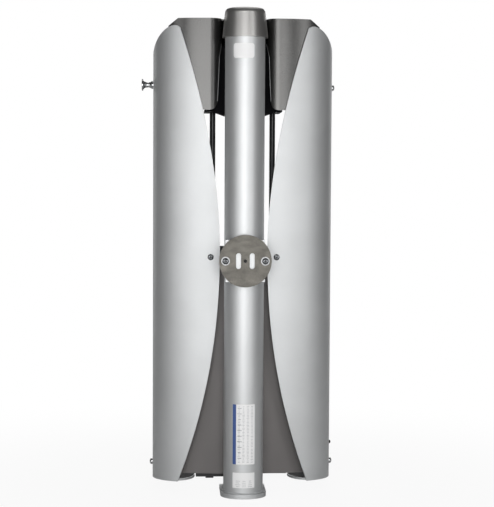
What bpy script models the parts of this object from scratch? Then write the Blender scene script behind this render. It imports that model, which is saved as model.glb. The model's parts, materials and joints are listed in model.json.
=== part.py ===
"""Weight-stack tower of a pin-selected strength machine, at real size.

The tower stands on the foot plate of a round steel column. Two curved side shells and a
moulded head cover enclose a stack of steel plates that rides on two guide rods. A cable
rises from the selector stem, passes over the head pulley, runs down inside the column,
turns round the low pulley and leaves at the back, just above the floor.

Frame: the origin is the column's axis at the floor, +Z is up, -Y is the column's side
(the front) and +Y is the user's side, where the selector pin is pulled.
Lengths are in metres. Run with: blender --background --python part.py
"""
import math

import bmesh
import bpy
from mathutils import Matrix, Vector

GAP = 0.0003              # clearance kept between neighbouring pieces

# --- Column and foot -------------------------------------------------------------------
COLUMN_R = 0.0635         # 127 mm (5 in) round tube
COLUMN_WALL = 0.004
COLUMN_TOP = 1.522
FOOT_T = 0.014
FOOT_HALF_W = 0.073
FOOT_FRONT = -0.080
FOOT_BACK = 0.090
FOOT_NOSE = 0.062         # depth of the rounded front

# --- Side shells -------------------------------------------------------------------------
SHELL_HALF_W = 0.292      # the widest point of each shell
SHELL_WIDEST_Y = 0.14     # depth at which it is widest
SHELL_FRONT_Y = 0.025
SHELL_BACK_Y = 0.330
SHELL_BACK_X = 0.235      # where each shell ends at the back
SHELL_FLAT_X = 0.092      # the front face starts to curve back from here
SHELL_T = 0.003
SHELL_BOTTOM = 0.033
SHELL_PLAN_POWER = 2.4    # superellipse exponent of the plan curve
LEAF_WAIST_Z = 0.79       # where the two leaves come closest to the column
LEAF_WAIST_X = 0.0763
LEAF_UPPER = (0.244, 1.806)  # edge half-width grows as factor * height ** power
LEAF_LOWER = (0.2446, 2.15)
TIP_X = 0.225             # top of the leaf tips
TIP_Z = 1.503
TIP_ROUND = 0.013         # height of the tip's rounded inner corner
SHOULDER_Z = 1.415        # the shoulder curve ends here, at the widest point
SHOULDER_POWER = 1.75

# --- Head cover ----------------------------------------------------------------------------
COVER_INSET = 0.0055      # the cover sits this far inside the shells' outer face
COVER_T = 0.004
COVER_BOTTOM = 1.234
COVER_TOP = 1.5255
COVER_FLAT_X = 0.2125
CAP_R = 0.0725            # at the cap's lower edge; it narrows upwards
CAP_BOTTOM = 1.459
CAP_TOP = 1.551
CAP_T = 0.004
ARCH = ((0.0860, 1.262), (0.0825, 1.340), (0.0800, 1.405), (0.0700, 1.459))   # half-width, height
COVER_SLOPE = 8.6         # degrees: the cover's lower edge rises towards the back

# --- Medallion and middle bracket ----------------------------------------------------------
DISC_R = 0.0825
DISC_T = 0.0075
DISC_Z = 0.756
SADDLE_FRONT = -0.0775
SADDLE_HALF_W = 0.062
SADDLE_HALF_H = 0.066
SADDLE_T = 0.004
DISC_BOLT_X = 0.0625
WASHER_R = 0.0138
WASHER_T = 0.0022
WINDOW_X = 0.0215         # the disc's two upright windows
WINDOW_HALF_W = 0.0080
WINDOW_HALF_H = 0.0250
MID_SCREW_X = 0.106
MID_SCREW_Z = 0.7625
CROSSBAR_Z = (0.745, 0.797)

# --- Lower panel ----------------------------------------------------------------------------
PANEL_RAISED_X = 0.216    # between the leaves its lower edge is raised
PANEL_RAISED_Z = 0.0525

# --- Stack -----------------------------------------------------------------------------------
STACK_Y = 0.145
PLATE_SIZE = (0.300, 0.115, 0.0381)
PLATE_COUNT = 14
PLATE_PITCH = PLATE_SIZE[2] + GAP
LIFTED_PLATES = 5         # plates above and including the one that the pin is in
STACK_Z = 0.0853          # underside of the lowest plate
ROD_X = 0.0980
ROD_R = 0.0095
ROD_TOP = 1.256
STEM_R = 0.0125
STEM_HOLE_R = 0.0135
STEM_TOP = 0.720
PIN_R = 0.0047
PIN_HOLE_R = 0.0054

# --- Base -------------------------------------------------------------------------------------
SPINE_HALF_W = 0.055
SPINE_Z = (0.008, 0.040)
REST_Z = (0.0403, 0.0523)
BEAM_Y = (0.3303, 0.3803)
BEAM_Z = (0.0083, 0.048)
BEAM_HALF_W = 0.265
POD_T = 0.008
POD_END_X = 0.222                  # centre of the ellipse at a pod's inner end
POD_REACH = 0.069                  # from there to its tip
POD_Y = (0.0490, 0.2045)

# --- Cable and pulleys --------------------------------------------------------------------------
CABLE_R = 0.003
HEAD_PULLEY_R = STACK_Y / 2        # cable centreline, so the cable drops on the column's axis
HEAD_PULLEY_Z = 1.360
LOW_PULLEY_R = 0.038
CABLE_EXIT_Z = 0.055
PULLEY_LIP = 0.006                 # rim beyond the cable's centreline
PULLEY_HALF_T = 0.011
CABLE_END_Y = 0.345

# --- Side fittings ---------------------------------------------------------------------------------
SIDE_SCREW_Y = SHELL_WIDEST_Y
UPPER_SCREW_Z = 1.313
LOWER_SCREW_Z = 0.081
PLUG_Z = 0.143
HOOK_Z = 1.318

COLORS = {                # base colour, metallic, roughness
    "silver": ((0.47, 0.48, 0.49), 0.6, 0.35),
    "charcoal": ((0.15, 0.145, 0.14), 0.4, 0.45),
    "black": ((0.02, 0.02, 0.02), 0.2, 0.5),
    "steel": ((0.30, 0.28, 0.25), 0.9, 0.4),
    "chrome": ((0.80, 0.80, 0.80), 1.0, 0.12),
    "rubber": ((0.03, 0.03, 0.03), 0.0, 0.8),
    "nylon": ((0.06, 0.06, 0.065), 0.0, 0.5),
    "plate": ((0.055, 0.055, 0.058), 0.5, 0.5),
}


# ------------------------------------------------------------------ scene and helpers

def clear_scene():
    for obj in list(bpy.data.objects):
        bpy.data.objects.remove(obj, do_unlink=True)


def make_collection(name):
    coll = bpy.data.collections.new(name)
    bpy.context.scene.collection.children.link(coll)
    return coll


def paint(obj, finish):
    """Give the object a material of its own in one of the finishes."""
    color, metallic, roughness = COLORS[finish]
    mat = bpy.data.materials.new(obj.name)
    mat.use_nodes = True
    bsdf = mat.node_tree.nodes["Principled BSDF"]
    bsdf.inputs["Base Color"].default_value = (*color, 1.0)
    bsdf.inputs["Metallic"].default_value = metallic
    bsdf.inputs["Roughness"].default_value = roughness
    obj.data.materials.clear()
    obj.data.materials.append(mat)


def add_mesh(name, mesh, finish, place=(0, 0, 0)):
    obj = bpy.data.objects.new(name, mesh)
    obj.location = place
    PARTS.objects.link(obj)
    paint(obj, finish)
    return obj


def mesh_from(bm, name, smooth=False):
    bmesh.ops.recalc_face_normals(bm, faces=bm.faces)
    mesh = bpy.data.meshes.new(name)
    bm.to_mesh(mesh)
    bm.free()
    if smooth:
        mesh.shade_smooth()
        mesh.set_sharp_from_angle(angle=math.radians(35))
    return mesh


def box_mesh(name, low, high):
    """An axis-aligned box between two corners."""
    bm = bmesh.new()
    bmesh.ops.create_cube(bm, size=1.0)
    low, high = Vector(low), Vector(high)
    size = high - low
    bmesh.ops.scale(bm, vec=size, verts=bm.verts)
    bmesh.ops.translate(bm, vec=(low + high) / 2, verts=bm.verts)
    return mesh_from(bm, name)


AXIS_TURN = {"X": Matrix.Rotation(math.pi / 2, 4, "Y"),
             "Y": Matrix.Rotation(-math.pi / 2, 4, "X"),
             "Z": Matrix.Identity(4)}


def rod_mesh(name, radius, start, length, axis="Z", sides=32):
    """A cylinder that starts at a point and runs along +axis."""
    bm = bmesh.new()
    turn = Matrix.Translation(Vector(start)) @ AXIS_TURN[axis]
    bmesh.ops.create_cone(bm, cap_ends=True, segments=sides, radius1=radius, radius2=radius,
                          depth=length, matrix=turn @ Matrix.Translation((0, 0, length / 2)))
    return mesh_from(bm, name, smooth=True)


def prism_mesh(name, outline, low, high, plane="XY"):
    """A flat outline, as a filled 2D curve, given thickness from low to high."""
    curve = bpy.data.curves.new(name, "CURVE")
    curve.dimensions = "2D"
    curve.fill_mode = "BOTH"
    curve.extrude = (high - low) / 2
    spline = curve.splines.new("POLY")
    spline.points.add(len(outline) - 1)
    for point, (a, b) in zip(spline.points, outline):
        point.co = (a, b, 0, 1)
    spline.use_cyclic_u = True
    obj = bpy.data.objects.new(name + "_outline", curve)
    bpy.context.scene.collection.objects.link(obj)
    middle = (low + high) / 2
    if plane == "XY":
        obj.matrix_world = Matrix.Translation((0, 0, middle))
    else:
        obj.matrix_world = Matrix.Translation((0, middle, 0)) @ Matrix.Rotation(math.pi / 2, 4, "X")
    return mesh_of(obj, name)


def mesh_of(obj, name):
    """The evaluated object as a welded mesh in world space; the source object is removed."""
    bpy.context.view_layer.update()
    depsgraph = bpy.context.evaluated_depsgraph_get()
    mesh = bpy.data.meshes.new_from_object(obj.evaluated_get(depsgraph))
    bm = bmesh.new()
    bm.from_mesh(mesh)
    bmesh.ops.transform(bm, matrix=obj.matrix_world, verts=bm.verts)
    bmesh.ops.remove_doubles(bm, verts=bm.verts, dist=1e-6)
    source = obj.data
    bpy.data.objects.remove(obj, do_unlink=True)
    if isinstance(source, bpy.types.Curve):
        bpy.data.curves.remove(source)
    bpy.data.meshes.remove(mesh)
    result = mesh_from(bm, name)
    result.materials.clear()
    return result


def turned(name, profile, finish, centre, axis="Z", steps=28, closed=False):
    """A turned piece. The profile is (radius, height) from the top down its outer side;
    closed joins its two ends, for a ring."""
    mesh = bpy.data.meshes.new(name)
    count = len(profile)
    edges = [(i, i + 1) for i in range(count - 1)]
    if closed:
        edges.append((count - 1, 0))
    mesh.from_pydata([(r, 0, h) for r, h in profile], edges, [])
    obj = add_mesh(name, mesh, finish)
    obj.matrix_world = Matrix.Translation(Vector(centre)) @ AXIS_TURN[axis]
    screw = obj.modifiers.new("Turn", "SCREW")
    screw.steps = steps
    screw.render_steps = steps
    screw.use_merge_vertices = True
    screw.merge_threshold = 0.00002
    screw.use_normal_calculate = False
    return obj


def cutter(name, mesh):
    obj = bpy.data.objects.new("cut_" + name, mesh)
    CUTTERS.objects.link(obj)
    obj.hide_render = True
    obj.display_type = "WIRE"
    return obj


def boolean(obj, tool, operation="DIFFERENCE"):
    mod = obj.modifiers.new(operation.title(), "BOOLEAN")
    mod.operation = operation
    mod.solver = "EXACT"
    mod.object = tool
    return mod


def bevel(obj, width, segments=2):
    mod = obj.modifiers.new("Edge", "BEVEL")
    mod.width = width
    mod.segments = segments
    mod.limit_method = "ANGLE"
    mod.angle_limit = math.radians(50)
    return mod


def round_box_mesh(name, low, high, radius, steps=4):
    """A box whose four upright edges are rounded."""
    (x0, y0, z0), (x1, y1, z1) = low, high
    corners = [(x1 - radius, y1 - radius, 0), (x0 + radius, y1 - radius, 90),
               (x0 + radius, y0 + radius, 180), (x1 - radius, y0 + radius, 270)]
    outline = []
    for cx, cy, start in corners:
        outline += arc(cx, cy, radius, radius, start, start + 90, steps)
    return prism_mesh(name, outline, z0, z1)


def arc(cx, cy, rx, ry, start, end, steps):
    """Points along part of an ellipse, angles in degrees."""
    points = []
    for i in range(steps + 1):
        t = math.radians(start + (end - start) * i / steps)
        points.append((cx + rx * math.cos(t), cy + ry * math.sin(t)))
    return points


def mirrored(points):
    return [(-x, y) for x, y in points]


# ------------------------------------------------------------------ shared outlines

def super_point(cx, cy, a, b, power, t):
    """A point of a superellipse's quarter: t = 0 is at +a, t = 90 degrees at +b."""
    angle = math.radians(t)
    return (cx + a * math.cos(angle) ** (2 / power), cy + b * math.sin(angle) ** (2 / power))


def shell_front_curve(inset=0.0, steps=16):
    """The right shell's plan from its flat front face round to its widest point."""
    a = SHELL_HALF_W - SHELL_FLAT_X - inset
    b = SHELL_WIDEST_Y - SHELL_FRONT_Y - inset
    return [super_point(SHELL_FLAT_X, SHELL_WIDEST_Y, a, -b, SHELL_PLAN_POWER, 90 - 90 * i / steps)
            for i in range(steps + 1)]


def shell_back_curve(inset=0.0, steps=10):
    """The right shell's plan from its widest point to its back edge."""
    a = SHELL_HALF_W - SHELL_BACK_X - inset
    b = SHELL_BACK_Y - SHELL_WIDEST_Y - inset
    return [super_point(SHELL_BACK_X, SHELL_WIDEST_Y, a, b, 2.2, 90 * i / steps)
            for i in range(steps + 1)]


def leaf_edge_x(z):
    """Half-width of the gap between the two leaves at height z."""
    factor, power = LEAF_UPPER if z > LEAF_WAIST_Z else LEAF_LOWER
    return LEAF_WAIST_X + factor * abs(z - LEAF_WAIST_Z) ** power


# ------------------------------------------------------------------ column, foot, medallion

def make_column():
    tube = add_mesh("column_tube",
                    rod_mesh("column_tube", COLUMN_R, (0, 0, FOOT_T + GAP), COLUMN_TOP - FOOT_T, sides=48),
                    "silver")
    inside = rod_mesh("bore", COLUMN_R - COLUMN_WALL, (0, 0, -0.1), COLUMN_TOP + 0.3, sides=48)
    boolean(tube, cutter("column_bore", inside))
    slot_half = PULLEY_HALF_T + 0.0025
    head_slot = box_mesh("slot", (-slot_half, 0.03, HEAD_PULLEY_Z - 0.090), (slot_half, 0.09, HEAD_PULLEY_Z + 0.090))
    boolean(tube, cutter("column_head_slot", head_slot))
    low_slot = box_mesh("slot", (-slot_half, 0.03, 0.040), (slot_half, 0.09, 0.160))
    boolean(tube, cutter("column_low_slot", low_slot))
    axle_hole = rod_mesh("hole", 0.0063, (-0.1, LOW_PULLEY_R, CABLE_EXIT_Z + LOW_PULLEY_R), 0.2, "X", 16)
    boolean(tube, cutter("column_axle_hole", axle_hole))

    outline = arc(0, FOOT_FRONT + FOOT_NOSE, FOOT_HALF_W, FOOT_NOSE, 180, 360, 20)
    outline += [(FOOT_HALF_W, FOOT_BACK), (-FOOT_HALF_W, FOOT_BACK)]
    foot = add_mesh("column_foot_plate", prism_mesh("foot", outline, 0.0, FOOT_T), "silver")
    bevel(foot, 0.0015, 1)


def window_outline(sign):
    """An upright slot with round ends, seen from the front."""
    middle, reach = sign * WINDOW_X, WINDOW_HALF_H - WINDOW_HALF_W
    return (arc(middle, DISC_Z + reach, WINDOW_HALF_W, WINDOW_HALF_W, 0, 180, 8)
            + arc(middle, DISC_Z - reach, WINDOW_HALF_W, WINDOW_HALF_W, 180, 360, 8))


def make_medallion():
    back = -0.018
    saddle = add_mesh("disc_saddle",
                      box_mesh("saddle", (-SADDLE_HALF_W, SADDLE_FRONT, DISC_Z - SADDLE_HALF_H),
                               (SADDLE_HALF_W, back, DISC_Z + SADDLE_HALF_H)), "silver")
    ears = box_mesh("ears", (-0.076, SADDLE_FRONT, DISC_Z - 0.020), (0.076, SADDLE_FRONT + SADDLE_T, DISC_Z + 0.020))
    boolean(saddle, cutter("saddle_ears", ears), "UNION")
    hollow = box_mesh("hollow", (-SADDLE_HALF_W + SADDLE_T, SADDLE_FRONT + SADDLE_T, 0.5),
                      (SADDLE_HALF_W - SADDLE_T, 0.1, 1.0))
    boolean(saddle, cutter("saddle_hollow", hollow))
    seat = rod_mesh("seat", COLUMN_R + GAP, (0, 0, 0.5), 0.5, sides=48)
    boolean(saddle, cutter("saddle_seat", seat))

    disc_back = SADDLE_FRONT - GAP
    disc = add_mesh("medallion_disc",
                    rod_mesh("disc", DISC_R, (0, disc_back - DISC_T, DISC_Z), DISC_T, "Y", 48), "steel")
    bevel(disc, 0.0008, 1)
    centre_hole = rod_mesh("hole", 0.0055, (0, -0.1, DISC_Z), 0.1, "Y", 16)
    boolean(disc, cutter("disc_centre_hole", centre_hole))
    face = disc_back - DISC_T
    for side, sign in (("left", -1), ("right", 1)):
        x = sign * DISC_BOLT_X
        hole = cutter("disc_bolt_hole_" + side, rod_mesh("hole", 0.0053, (x, -0.12, DISC_Z), 0.08, "Y", 16))
        boolean(disc, hole)
        boolean(saddle, hole)
        boolean(disc, cutter("disc_window_" + side, prism_mesh("window", window_outline(sign), -0.1, -0.07, "XZ")))
        ring = [(WASHER_R, WASHER_T), (WASHER_R, 0), (0.0055, 0), (0.0055, WASHER_T)]
        turned("disc_washer_" + side, ring, "chrome", (x, face - GAP - WASHER_T, DISC_Z), "Y", 32, closed=True)
        head_back = face - 2 * GAP - WASHER_T
        button = [(0, 0.0235), (0.005, 0.0235), (0.005, 0.0062), (0.0104, 0.0062), (0.0104, 0.0030),
                  (0.0082, 0.0006), (0.0044, 0), (0.0044, 0.0022), (0, 0.0022)]
        turned("disc_bolt_" + side, button, "chrome", (x, head_back - 0.0062, DISC_Z), "Y", 24)


# ------------------------------------------------------------------ side shells and their fittings

def leaf_gap_outline():
    """Elevation of the space between the two leaves, seen from the front."""
    low, high, steps = 0.0, TIP_Z - TIP_ROUND, 26
    right = []
    for i in range(steps + 1):
        z = low + (high - low) * i / steps
        right.append((leaf_edge_x(z), z))
    edge_x = right[-1][0]
    right += arc(TIP_X, high, edge_x - TIP_X, TIP_ROUND, 0, 90, 5)[1:]
    right.append((TIP_X + 0.002, TIP_Z + 0.1))
    return right + mirrored(reversed(right))


def above_shoulder_outline():
    """Elevation of everything above the right shoulder curve."""
    rise, reach, steps = TIP_Z - SHOULDER_Z, SHELL_HALF_W - TIP_X, 14
    shoulder = [super_point(TIP_X, SHOULDER_Z, reach, rise, SHOULDER_POWER, 90 - 90 * i / steps)
                for i in range(1, steps + 1)]
    start = (TIP_X - 0.006, TIP_Z - 0.0004)
    return [start] + shoulder + [(0.40, SHOULDER_Z), (0.40, 1.70), (TIP_X - 0.006, 1.70)]


def make_shell(side, sign, gap_cut, shoulder_cuts):
    """An open strip along the plan curve, thickened inwards, then trimmed to a leaf."""
    plan = [(0.055, SHELL_FRONT_Y)] + shell_front_curve()[:-1] + shell_back_curve()
    bm = bmesh.new()
    low = [bm.verts.new((sign * x, y, SHELL_BOTTOM)) for x, y in plan]
    base = [bm.edges.new(pair) for pair in zip(low, low[1:])]
    grown = bmesh.ops.extrude_edge_only(bm, edges=base)
    top = [v for v in grown["geom"] if isinstance(v, bmesh.types.BMVert)]
    bmesh.ops.translate(bm, vec=(0, 0, TIP_Z + 0.02 - SHELL_BOTTOM), verts=top)
    mesh = bpy.data.meshes.new("shell")
    bm.to_mesh(mesh)
    bm.free()
    shell = add_mesh("shell_" + side, mesh, "silver")
    solid = shell.modifiers.new("Sheet", "SOLIDIFY")
    solid.thickness = SHELL_T
    solid.offset = sign * 1.0
    solid.use_even_offset = True
    boolean(shell, gap_cut)
    boolean(shell, shoulder_cuts[side])
    return shell


def side_hole(name, sign, z, radius):
    start = 0.25 if sign > 0 else -0.35
    return cutter(name, rod_mesh("hole", radius, (start, SIDE_SCREW_Y, z), 0.10, "X", 16))


def domed_screw(name, sign, z, finish="chrome", head_r=0.0100, head_h=0.0095, shank=0.010):
    """A domed screw head on the shell's side, with a short shank through the sheet."""
    dome = [(head_r * math.cos(math.radians(a)), head_h * math.sin(math.radians(a))) for a in (70, 50, 25, 0)]
    profile = [(0, head_h)] + dome + [(0.0038, 0), (0.0038, -shank), (0, -shank)]
    if sign < 0:
        profile = [(r, -h) for r, h in reversed(profile)]
    return turned(name, profile, finish, (sign * (SHELL_HALF_W + GAP), SIDE_SCREW_Y, z), "X", 20)


def make_shells():
    gap_cut = cutter("leaf_gap", prism_mesh("gap", leaf_gap_outline(), -0.1, SHELL_WIDEST_Y, "XZ"))
    over = above_shoulder_outline()
    shoulder_cuts = {"right": cutter("shoulder_right", prism_mesh("over", over, -0.1, 0.5, "XZ")),
                     "left": cutter("shoulder_left", prism_mesh("over", mirrored(over), -0.1, 0.5, "XZ"))}
    shells = {}
    for side, sign in (("left", -1), ("right", 1)):
        shell = make_shell(side, sign, gap_cut, shoulder_cuts)
        shells[side] = shell
        x = sign * MID_SCREW_X
        hole = cutter("mid_screw_hole_" + side, rod_mesh("hole", 0.0036, (x, -0.05, MID_SCREW_Z), 0.10, "Y", 12))
        boolean(shell, hole)
        head = [(0, 0.0165), (0.0032, 0.0165), (0.0032, 0.0045), (0.0100, 0.0045), (0.0100, 0.0022),
                (0.0072, 0), (0.0038, 0), (0.0038, 0.0018), (0, 0.0018)]
        turned("mid_screw_" + side, head, "chrome", (x, SHELL_FRONT_Y - GAP - 0.0045, MID_SCREW_Z), "Y", 24)
        boolean(shell, side_hole("lower_hole_" + side, sign, LOWER_SCREW_Z, 0.0043))
        domed_screw("lower_screw_" + side, sign, LOWER_SCREW_Z)
    boolean(shells["right"], side_hole("upper_hole_right", 1, UPPER_SCREW_Z, 0.0043))
    domed_screw("upper_screw_right", 1, UPPER_SCREW_Z)
    boolean(shells["right"], side_hole("plug_hole", 1, PLUG_Z, 0.0043))
    domed_screw("side_plug_right", 1, PLUG_Z, "rubber", 0.0060, 0.0060, 0.005)
    boolean(shells["left"], side_hole("hook_hole", -1, HOOK_Z, 0.0055))
    make_hook()
    return shells


def make_hook():
    """A spool-shaped hook on the left side: inner flange, narrow waist, wide outer flare."""
    base = 0.0
    profile = [(0, 0.012), (0.005, 0.012), (0.005, base), (0.0130, base), (0.0130, -0.003),
               (0.0095, -0.008), (0.0085, -0.015), (0.0095, -0.023), (0.0140, -0.030),
               (0.0195, -0.034), (0.0200, -0.0358), (0.0185, -0.037), (0, -0.037)]
    turned("accessory_hook", profile, "chrome", (-(SHELL_HALF_W + GAP), SIDE_SCREW_Y, HOOK_Z), "X", 20)


def make_crossbar():
    """A flat bar bent forwards at both ends, where the leaves are screwed on."""
    path = [(0.094, 0.0315), (0.1165, 0.0315), (0.1165, 0.0670)]
    path = mirrored(path) + list(reversed(path))
    bm = bmesh.new()
    low = [bm.verts.new((x, y, CROSSBAR_Z[0])) for x, y in path]
    base = [bm.edges.new(pair) for pair in zip(low, low[1:])]
    grown = bmesh.ops.extrude_edge_only(bm, edges=base)
    top = [v for v in grown["geom"] if isinstance(v, bmesh.types.BMVert)]
    bmesh.ops.translate(bm, vec=(0, 0, CROSSBAR_Z[1] - CROSSBAR_Z[0]), verts=top)
    mesh = bpy.data.meshes.new("crossbar")
    bm.to_mesh(mesh)
    bm.free()
    bar = add_mesh("mid_crossbar", mesh, "black")
    solid = bar.modifiers.new("Bar", "SOLIDIFY")
    solid.thickness = 0.004
    solid.offset = 0.0
    solid.use_even_offset = True
    for sign in (-1, 1):
        hole = rod_mesh("hole", 0.0036, (sign * MID_SCREW_X, 0.0, MID_SCREW_Z), 0.05, "Y", 12)
        boolean(bar, cutter("crossbar_hole_%s" % ("left" if sign < 0 else "right"), hole))


# ------------------------------------------------------------------ head cover and lower panel

def cover_plan(inset):
    """Plan of the head cover: rolled front corners beside the column, then just inside the
    shells all the way round to a flat back."""
    roll_x, roll_y = 0.112, 0.066
    front = SHELL_FRONT_Y + COVER_INSET + inset
    roll = arc(roll_x, roll_y, -(0.040 - inset), front - roll_y, 0, 90, 6)
    inner = COVER_INSET + inset
    sweep = [p for p in shell_front_curve(inner, 12) if p[0] > roll_x + 0.004]
    right = [(0, roll_y)] + roll + sweep + shell_back_curve(inner, 8)[1:]
    left = mirrored(reversed(right))
    return right + left[:-1]


def cover_elevation(inset):
    """Front outline of the head cover: flat top, rounded shoulders, straight sides."""
    top = COVER_TOP - inset
    slope_x, slope_z = 0.2434, 1.5010
    reach = SHELL_HALF_W - COVER_INSET - TIP_X - inset
    rise = TIP_Z - SHOULDER_Z - 0.004 - inset
    shoulder = [super_point(TIP_X, SHOULDER_Z, reach, rise, SHOULDER_POWER, 70 - 7 * i) for i in range(11)]
    right = [(SHELL_HALF_W - COVER_INSET - inset, COVER_BOTTOM - inset)]
    right += reversed(shoulder)
    right += [(slope_x - inset * 0.4, slope_z - inset + 0.0005), (COVER_FLAT_X - inset * 0.4, top)]
    return right + mirrored(reversed(right))


def cap_side(grow=0.0):
    """Half section of the cap's outside: a rounded top edge over a slightly tapered side."""
    middle_r, middle_z = 0.053, 1.533
    corner = arc(middle_r, middle_z, 0.0125 + grow, CAP_TOP - middle_z, 90, 0, 6)
    return [(0, CAP_TOP)] + corner + [(CAP_R + grow, CAP_BOTTOM)]


def make_cap():
    """The cap pushes over the tube's end and rests on it with a step inside."""
    seat = COLUMN_TOP + 2 * GAP
    inside = [(COLUMN_R + GAP, CAP_BOTTOM), (COLUMN_R + GAP, seat), (0.058, seat),
              (0.054, CAP_TOP - CAP_T), (0, CAP_TOP - CAP_T)]
    turned("column_cap", cap_side() + inside, "charcoal", (0, 0, 0), steps=32)


def cover_core(name, inset, base):
    """The cover's filled form: its plan and its elevation intersected."""
    body = bpy.data.objects.new(name, prism_mesh(name, cover_plan(inset), base, COVER_TOP + 0.05))
    CUTTERS.objects.link(body)
    front = cutter(name + "_elevation", prism_mesh("front", cover_elevation(inset), -0.1, 0.5, "XZ"))
    boolean(body, front, "INTERSECT")
    return mesh_of(body, name)


def recess_outline():
    """The arch in the cover's front that the column stands in."""
    low_x, low_z = ARCH[0]
    flare = 0.023
    right = [(low_x + flare, COVER_BOTTOM - 0.02), (low_x + flare, COVER_BOTTOM + 0.0005)]
    right += arc(low_x + flare, low_z, -flare, -(low_z - COVER_BOTTOM - 0.0005), 90, 0, 6)
    right += ARCH[1:]
    return right + mirrored(reversed(right))


def make_cover():
    cover = add_mesh("head_cover", cover_core("cover_outside", 0.0, COVER_BOTTOM), "charcoal")
    inside = cutter("cover_inside", cover_core("cover_hollow", COVER_T, COVER_BOTTOM - 0.02))
    boolean(cover, inside)
    recess = cutter("cover_recess", prism_mesh("recess", recess_outline(), -0.1, 0.082, "XZ"))
    boolean(cover, recess)
    room = turned("cap_room", cap_side(2 * GAP) + [(0, CAP_BOTTOM)], "charcoal", (0, 0, 0), steps=32)
    PARTS.objects.unlink(room)
    CUTTERS.objects.link(room)
    room.hide_render = True
    boolean(cover, room)
    slant = cutter("cover_slant", box_mesh("slant", (-0.4, 0, -0.2), (0.4, 0.6, 0)))
    slant.location = (0, 0.060, COVER_BOTTOM)
    slant.rotation_euler = (math.radians(COVER_SLOPE), 0, 0)
    boolean(cover, slant)
    boolean(cover, side_hole("cover_screw_right", 1, UPPER_SCREW_Z, 0.0043))
    boolean(cover, side_hole("cover_hook_left", -1, HOOK_Z, 0.0055))


def make_lower_panel():
    """A gently bowed sheet in front of the stack, notched round the low pulley."""
    half, low, high = 0.268, SHELL_BOTTOM + POD_T + GAP, 0.742
    steps = 16
    bm = bmesh.new()
    verts = []
    for i in range(steps + 1):
        x = -half + 2 * half * i / steps
        verts.append(bm.verts.new((x, 0.070 + 0.020 * (x / 0.21) ** 2, low)))
    base = [bm.edges.new(pair) for pair in zip(verts, verts[1:])]
    grown = bmesh.ops.extrude_edge_only(bm, edges=base)
    top = [v for v in grown["geom"] if isinstance(v, bmesh.types.BMVert)]
    bmesh.ops.translate(bm, vec=(0, 0, high - low), verts=top)
    mesh = bpy.data.meshes.new("lower_panel")
    bm.to_mesh(mesh)
    bm.free()
    panel = add_mesh("lower_panel", mesh, "charcoal")
    solid = panel.modifiers.new("Sheet", "SOLIDIFY")
    solid.thickness = 0.003
    solid.offset = -1.0
    notch = box_mesh("notch", (-0.058, 0.0, 0.0), (0.058, 0.12, 0.165))
    boolean(panel, cutter("panel_notch", notch))
    relief = box_mesh("relief", (-PANEL_RAISED_X, 0.0, 0.0), (PANEL_RAISED_X, 0.12, PANEL_RAISED_Z))
    boolean(panel, cutter("panel_relief", relief))


# ------------------------------------------------------------------ base

def pod_outline():
    """Plan of a base pod: an elliptical inner end, closed by the shell's inner face."""
    inset = SHELL_T + 2 * GAP
    front = [p for p in shell_front_curve(inset) if p[0] > POD_END_X + 0.004]
    back = [p for p in shell_back_curve(inset)[1:] if p[1] < POD_Y[1]]
    middle, half = (POD_Y[0] + POD_Y[1]) / 2, (POD_Y[1] - POD_Y[0]) / 2
    return arc(POD_END_X, middle, POD_REACH, half, 90, 270, 16) + front + back


def make_base():
    add_mesh("base_spine", box_mesh("spine", (-SPINE_HALF_W, FOOT_BACK + GAP, SPINE_Z[0]),
                                    (SPINE_HALF_W, BEAM_Y[0] - GAP, SPINE_Z[1])), "black")
    beam = add_mesh("rear_foot_beam", box_mesh("beam", (-BEAM_HALF_W, BEAM_Y[0], BEAM_Z[0]),
                                               (BEAM_HALF_W, BEAM_Y[1], BEAM_Z[1])), "black")
    bevel(beam, 0.004)
    beam_mid = (BEAM_Y[0] + BEAM_Y[1]) / 2
    for side, sign in (("left", -1), ("right", 1)):
        pad = rod_mesh("pad", 0.019, (sign * 0.232, beam_mid, 0.0), BEAM_Z[0] - GAP, sides=24)
        add_mesh("rear_pad_" + side, pad, "rubber")
        low_x, high_x = sorted((sign * 0.012, sign * 0.150))
        rest = box_mesh("rest", (low_x, STACK_Y - 0.020, REST_Z[0]), (high_x, STACK_Y + 0.020, REST_Z[1]))
        add_mesh("stack_rest_" + side, rest, "black")
        make_pod(side, sign)
    clip = add_mesh("connector_bracket", box_mesh("clip", (-0.150, 0.098, 0.0365), (-0.060, 0.122, 0.0485)), "black")
    lug = box_mesh("lug", (-0.118, 0.0985, 0.0320), (-0.092, 0.1215, 0.0505))
    boolean(clip, cutter("bracket_lug", lug), "UNION")


def make_pod(side, sign):
    """The thin floor plate inside a shell, with an upright tab for the side screw."""
    outline = pod_outline()
    if sign < 0:
        outline = mirrored(outline)
    pod = add_mesh("base_pod_" + side, prism_mesh("pod", outline, SHELL_BOTTOM, SHELL_BOTTOM + POD_T), "black")
    low_x, high_x = sorted((sign * 0.2795, sign * 0.2850))
    tab = box_mesh("tab", (low_x, SIDE_SCREW_Y - 0.02, SHELL_BOTTOM + 0.002),
                   (high_x, SIDE_SCREW_Y + 0.02, LOWER_SCREW_Z + 0.018))
    boolean(pod, cutter("pod_tab_" + side, tab), "UNION")
    boolean(pod, side_hole("pod_hole_" + side, sign, LOWER_SCREW_Z, 0.0043))


# ------------------------------------------------------------------ top frame and pulleys

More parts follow.
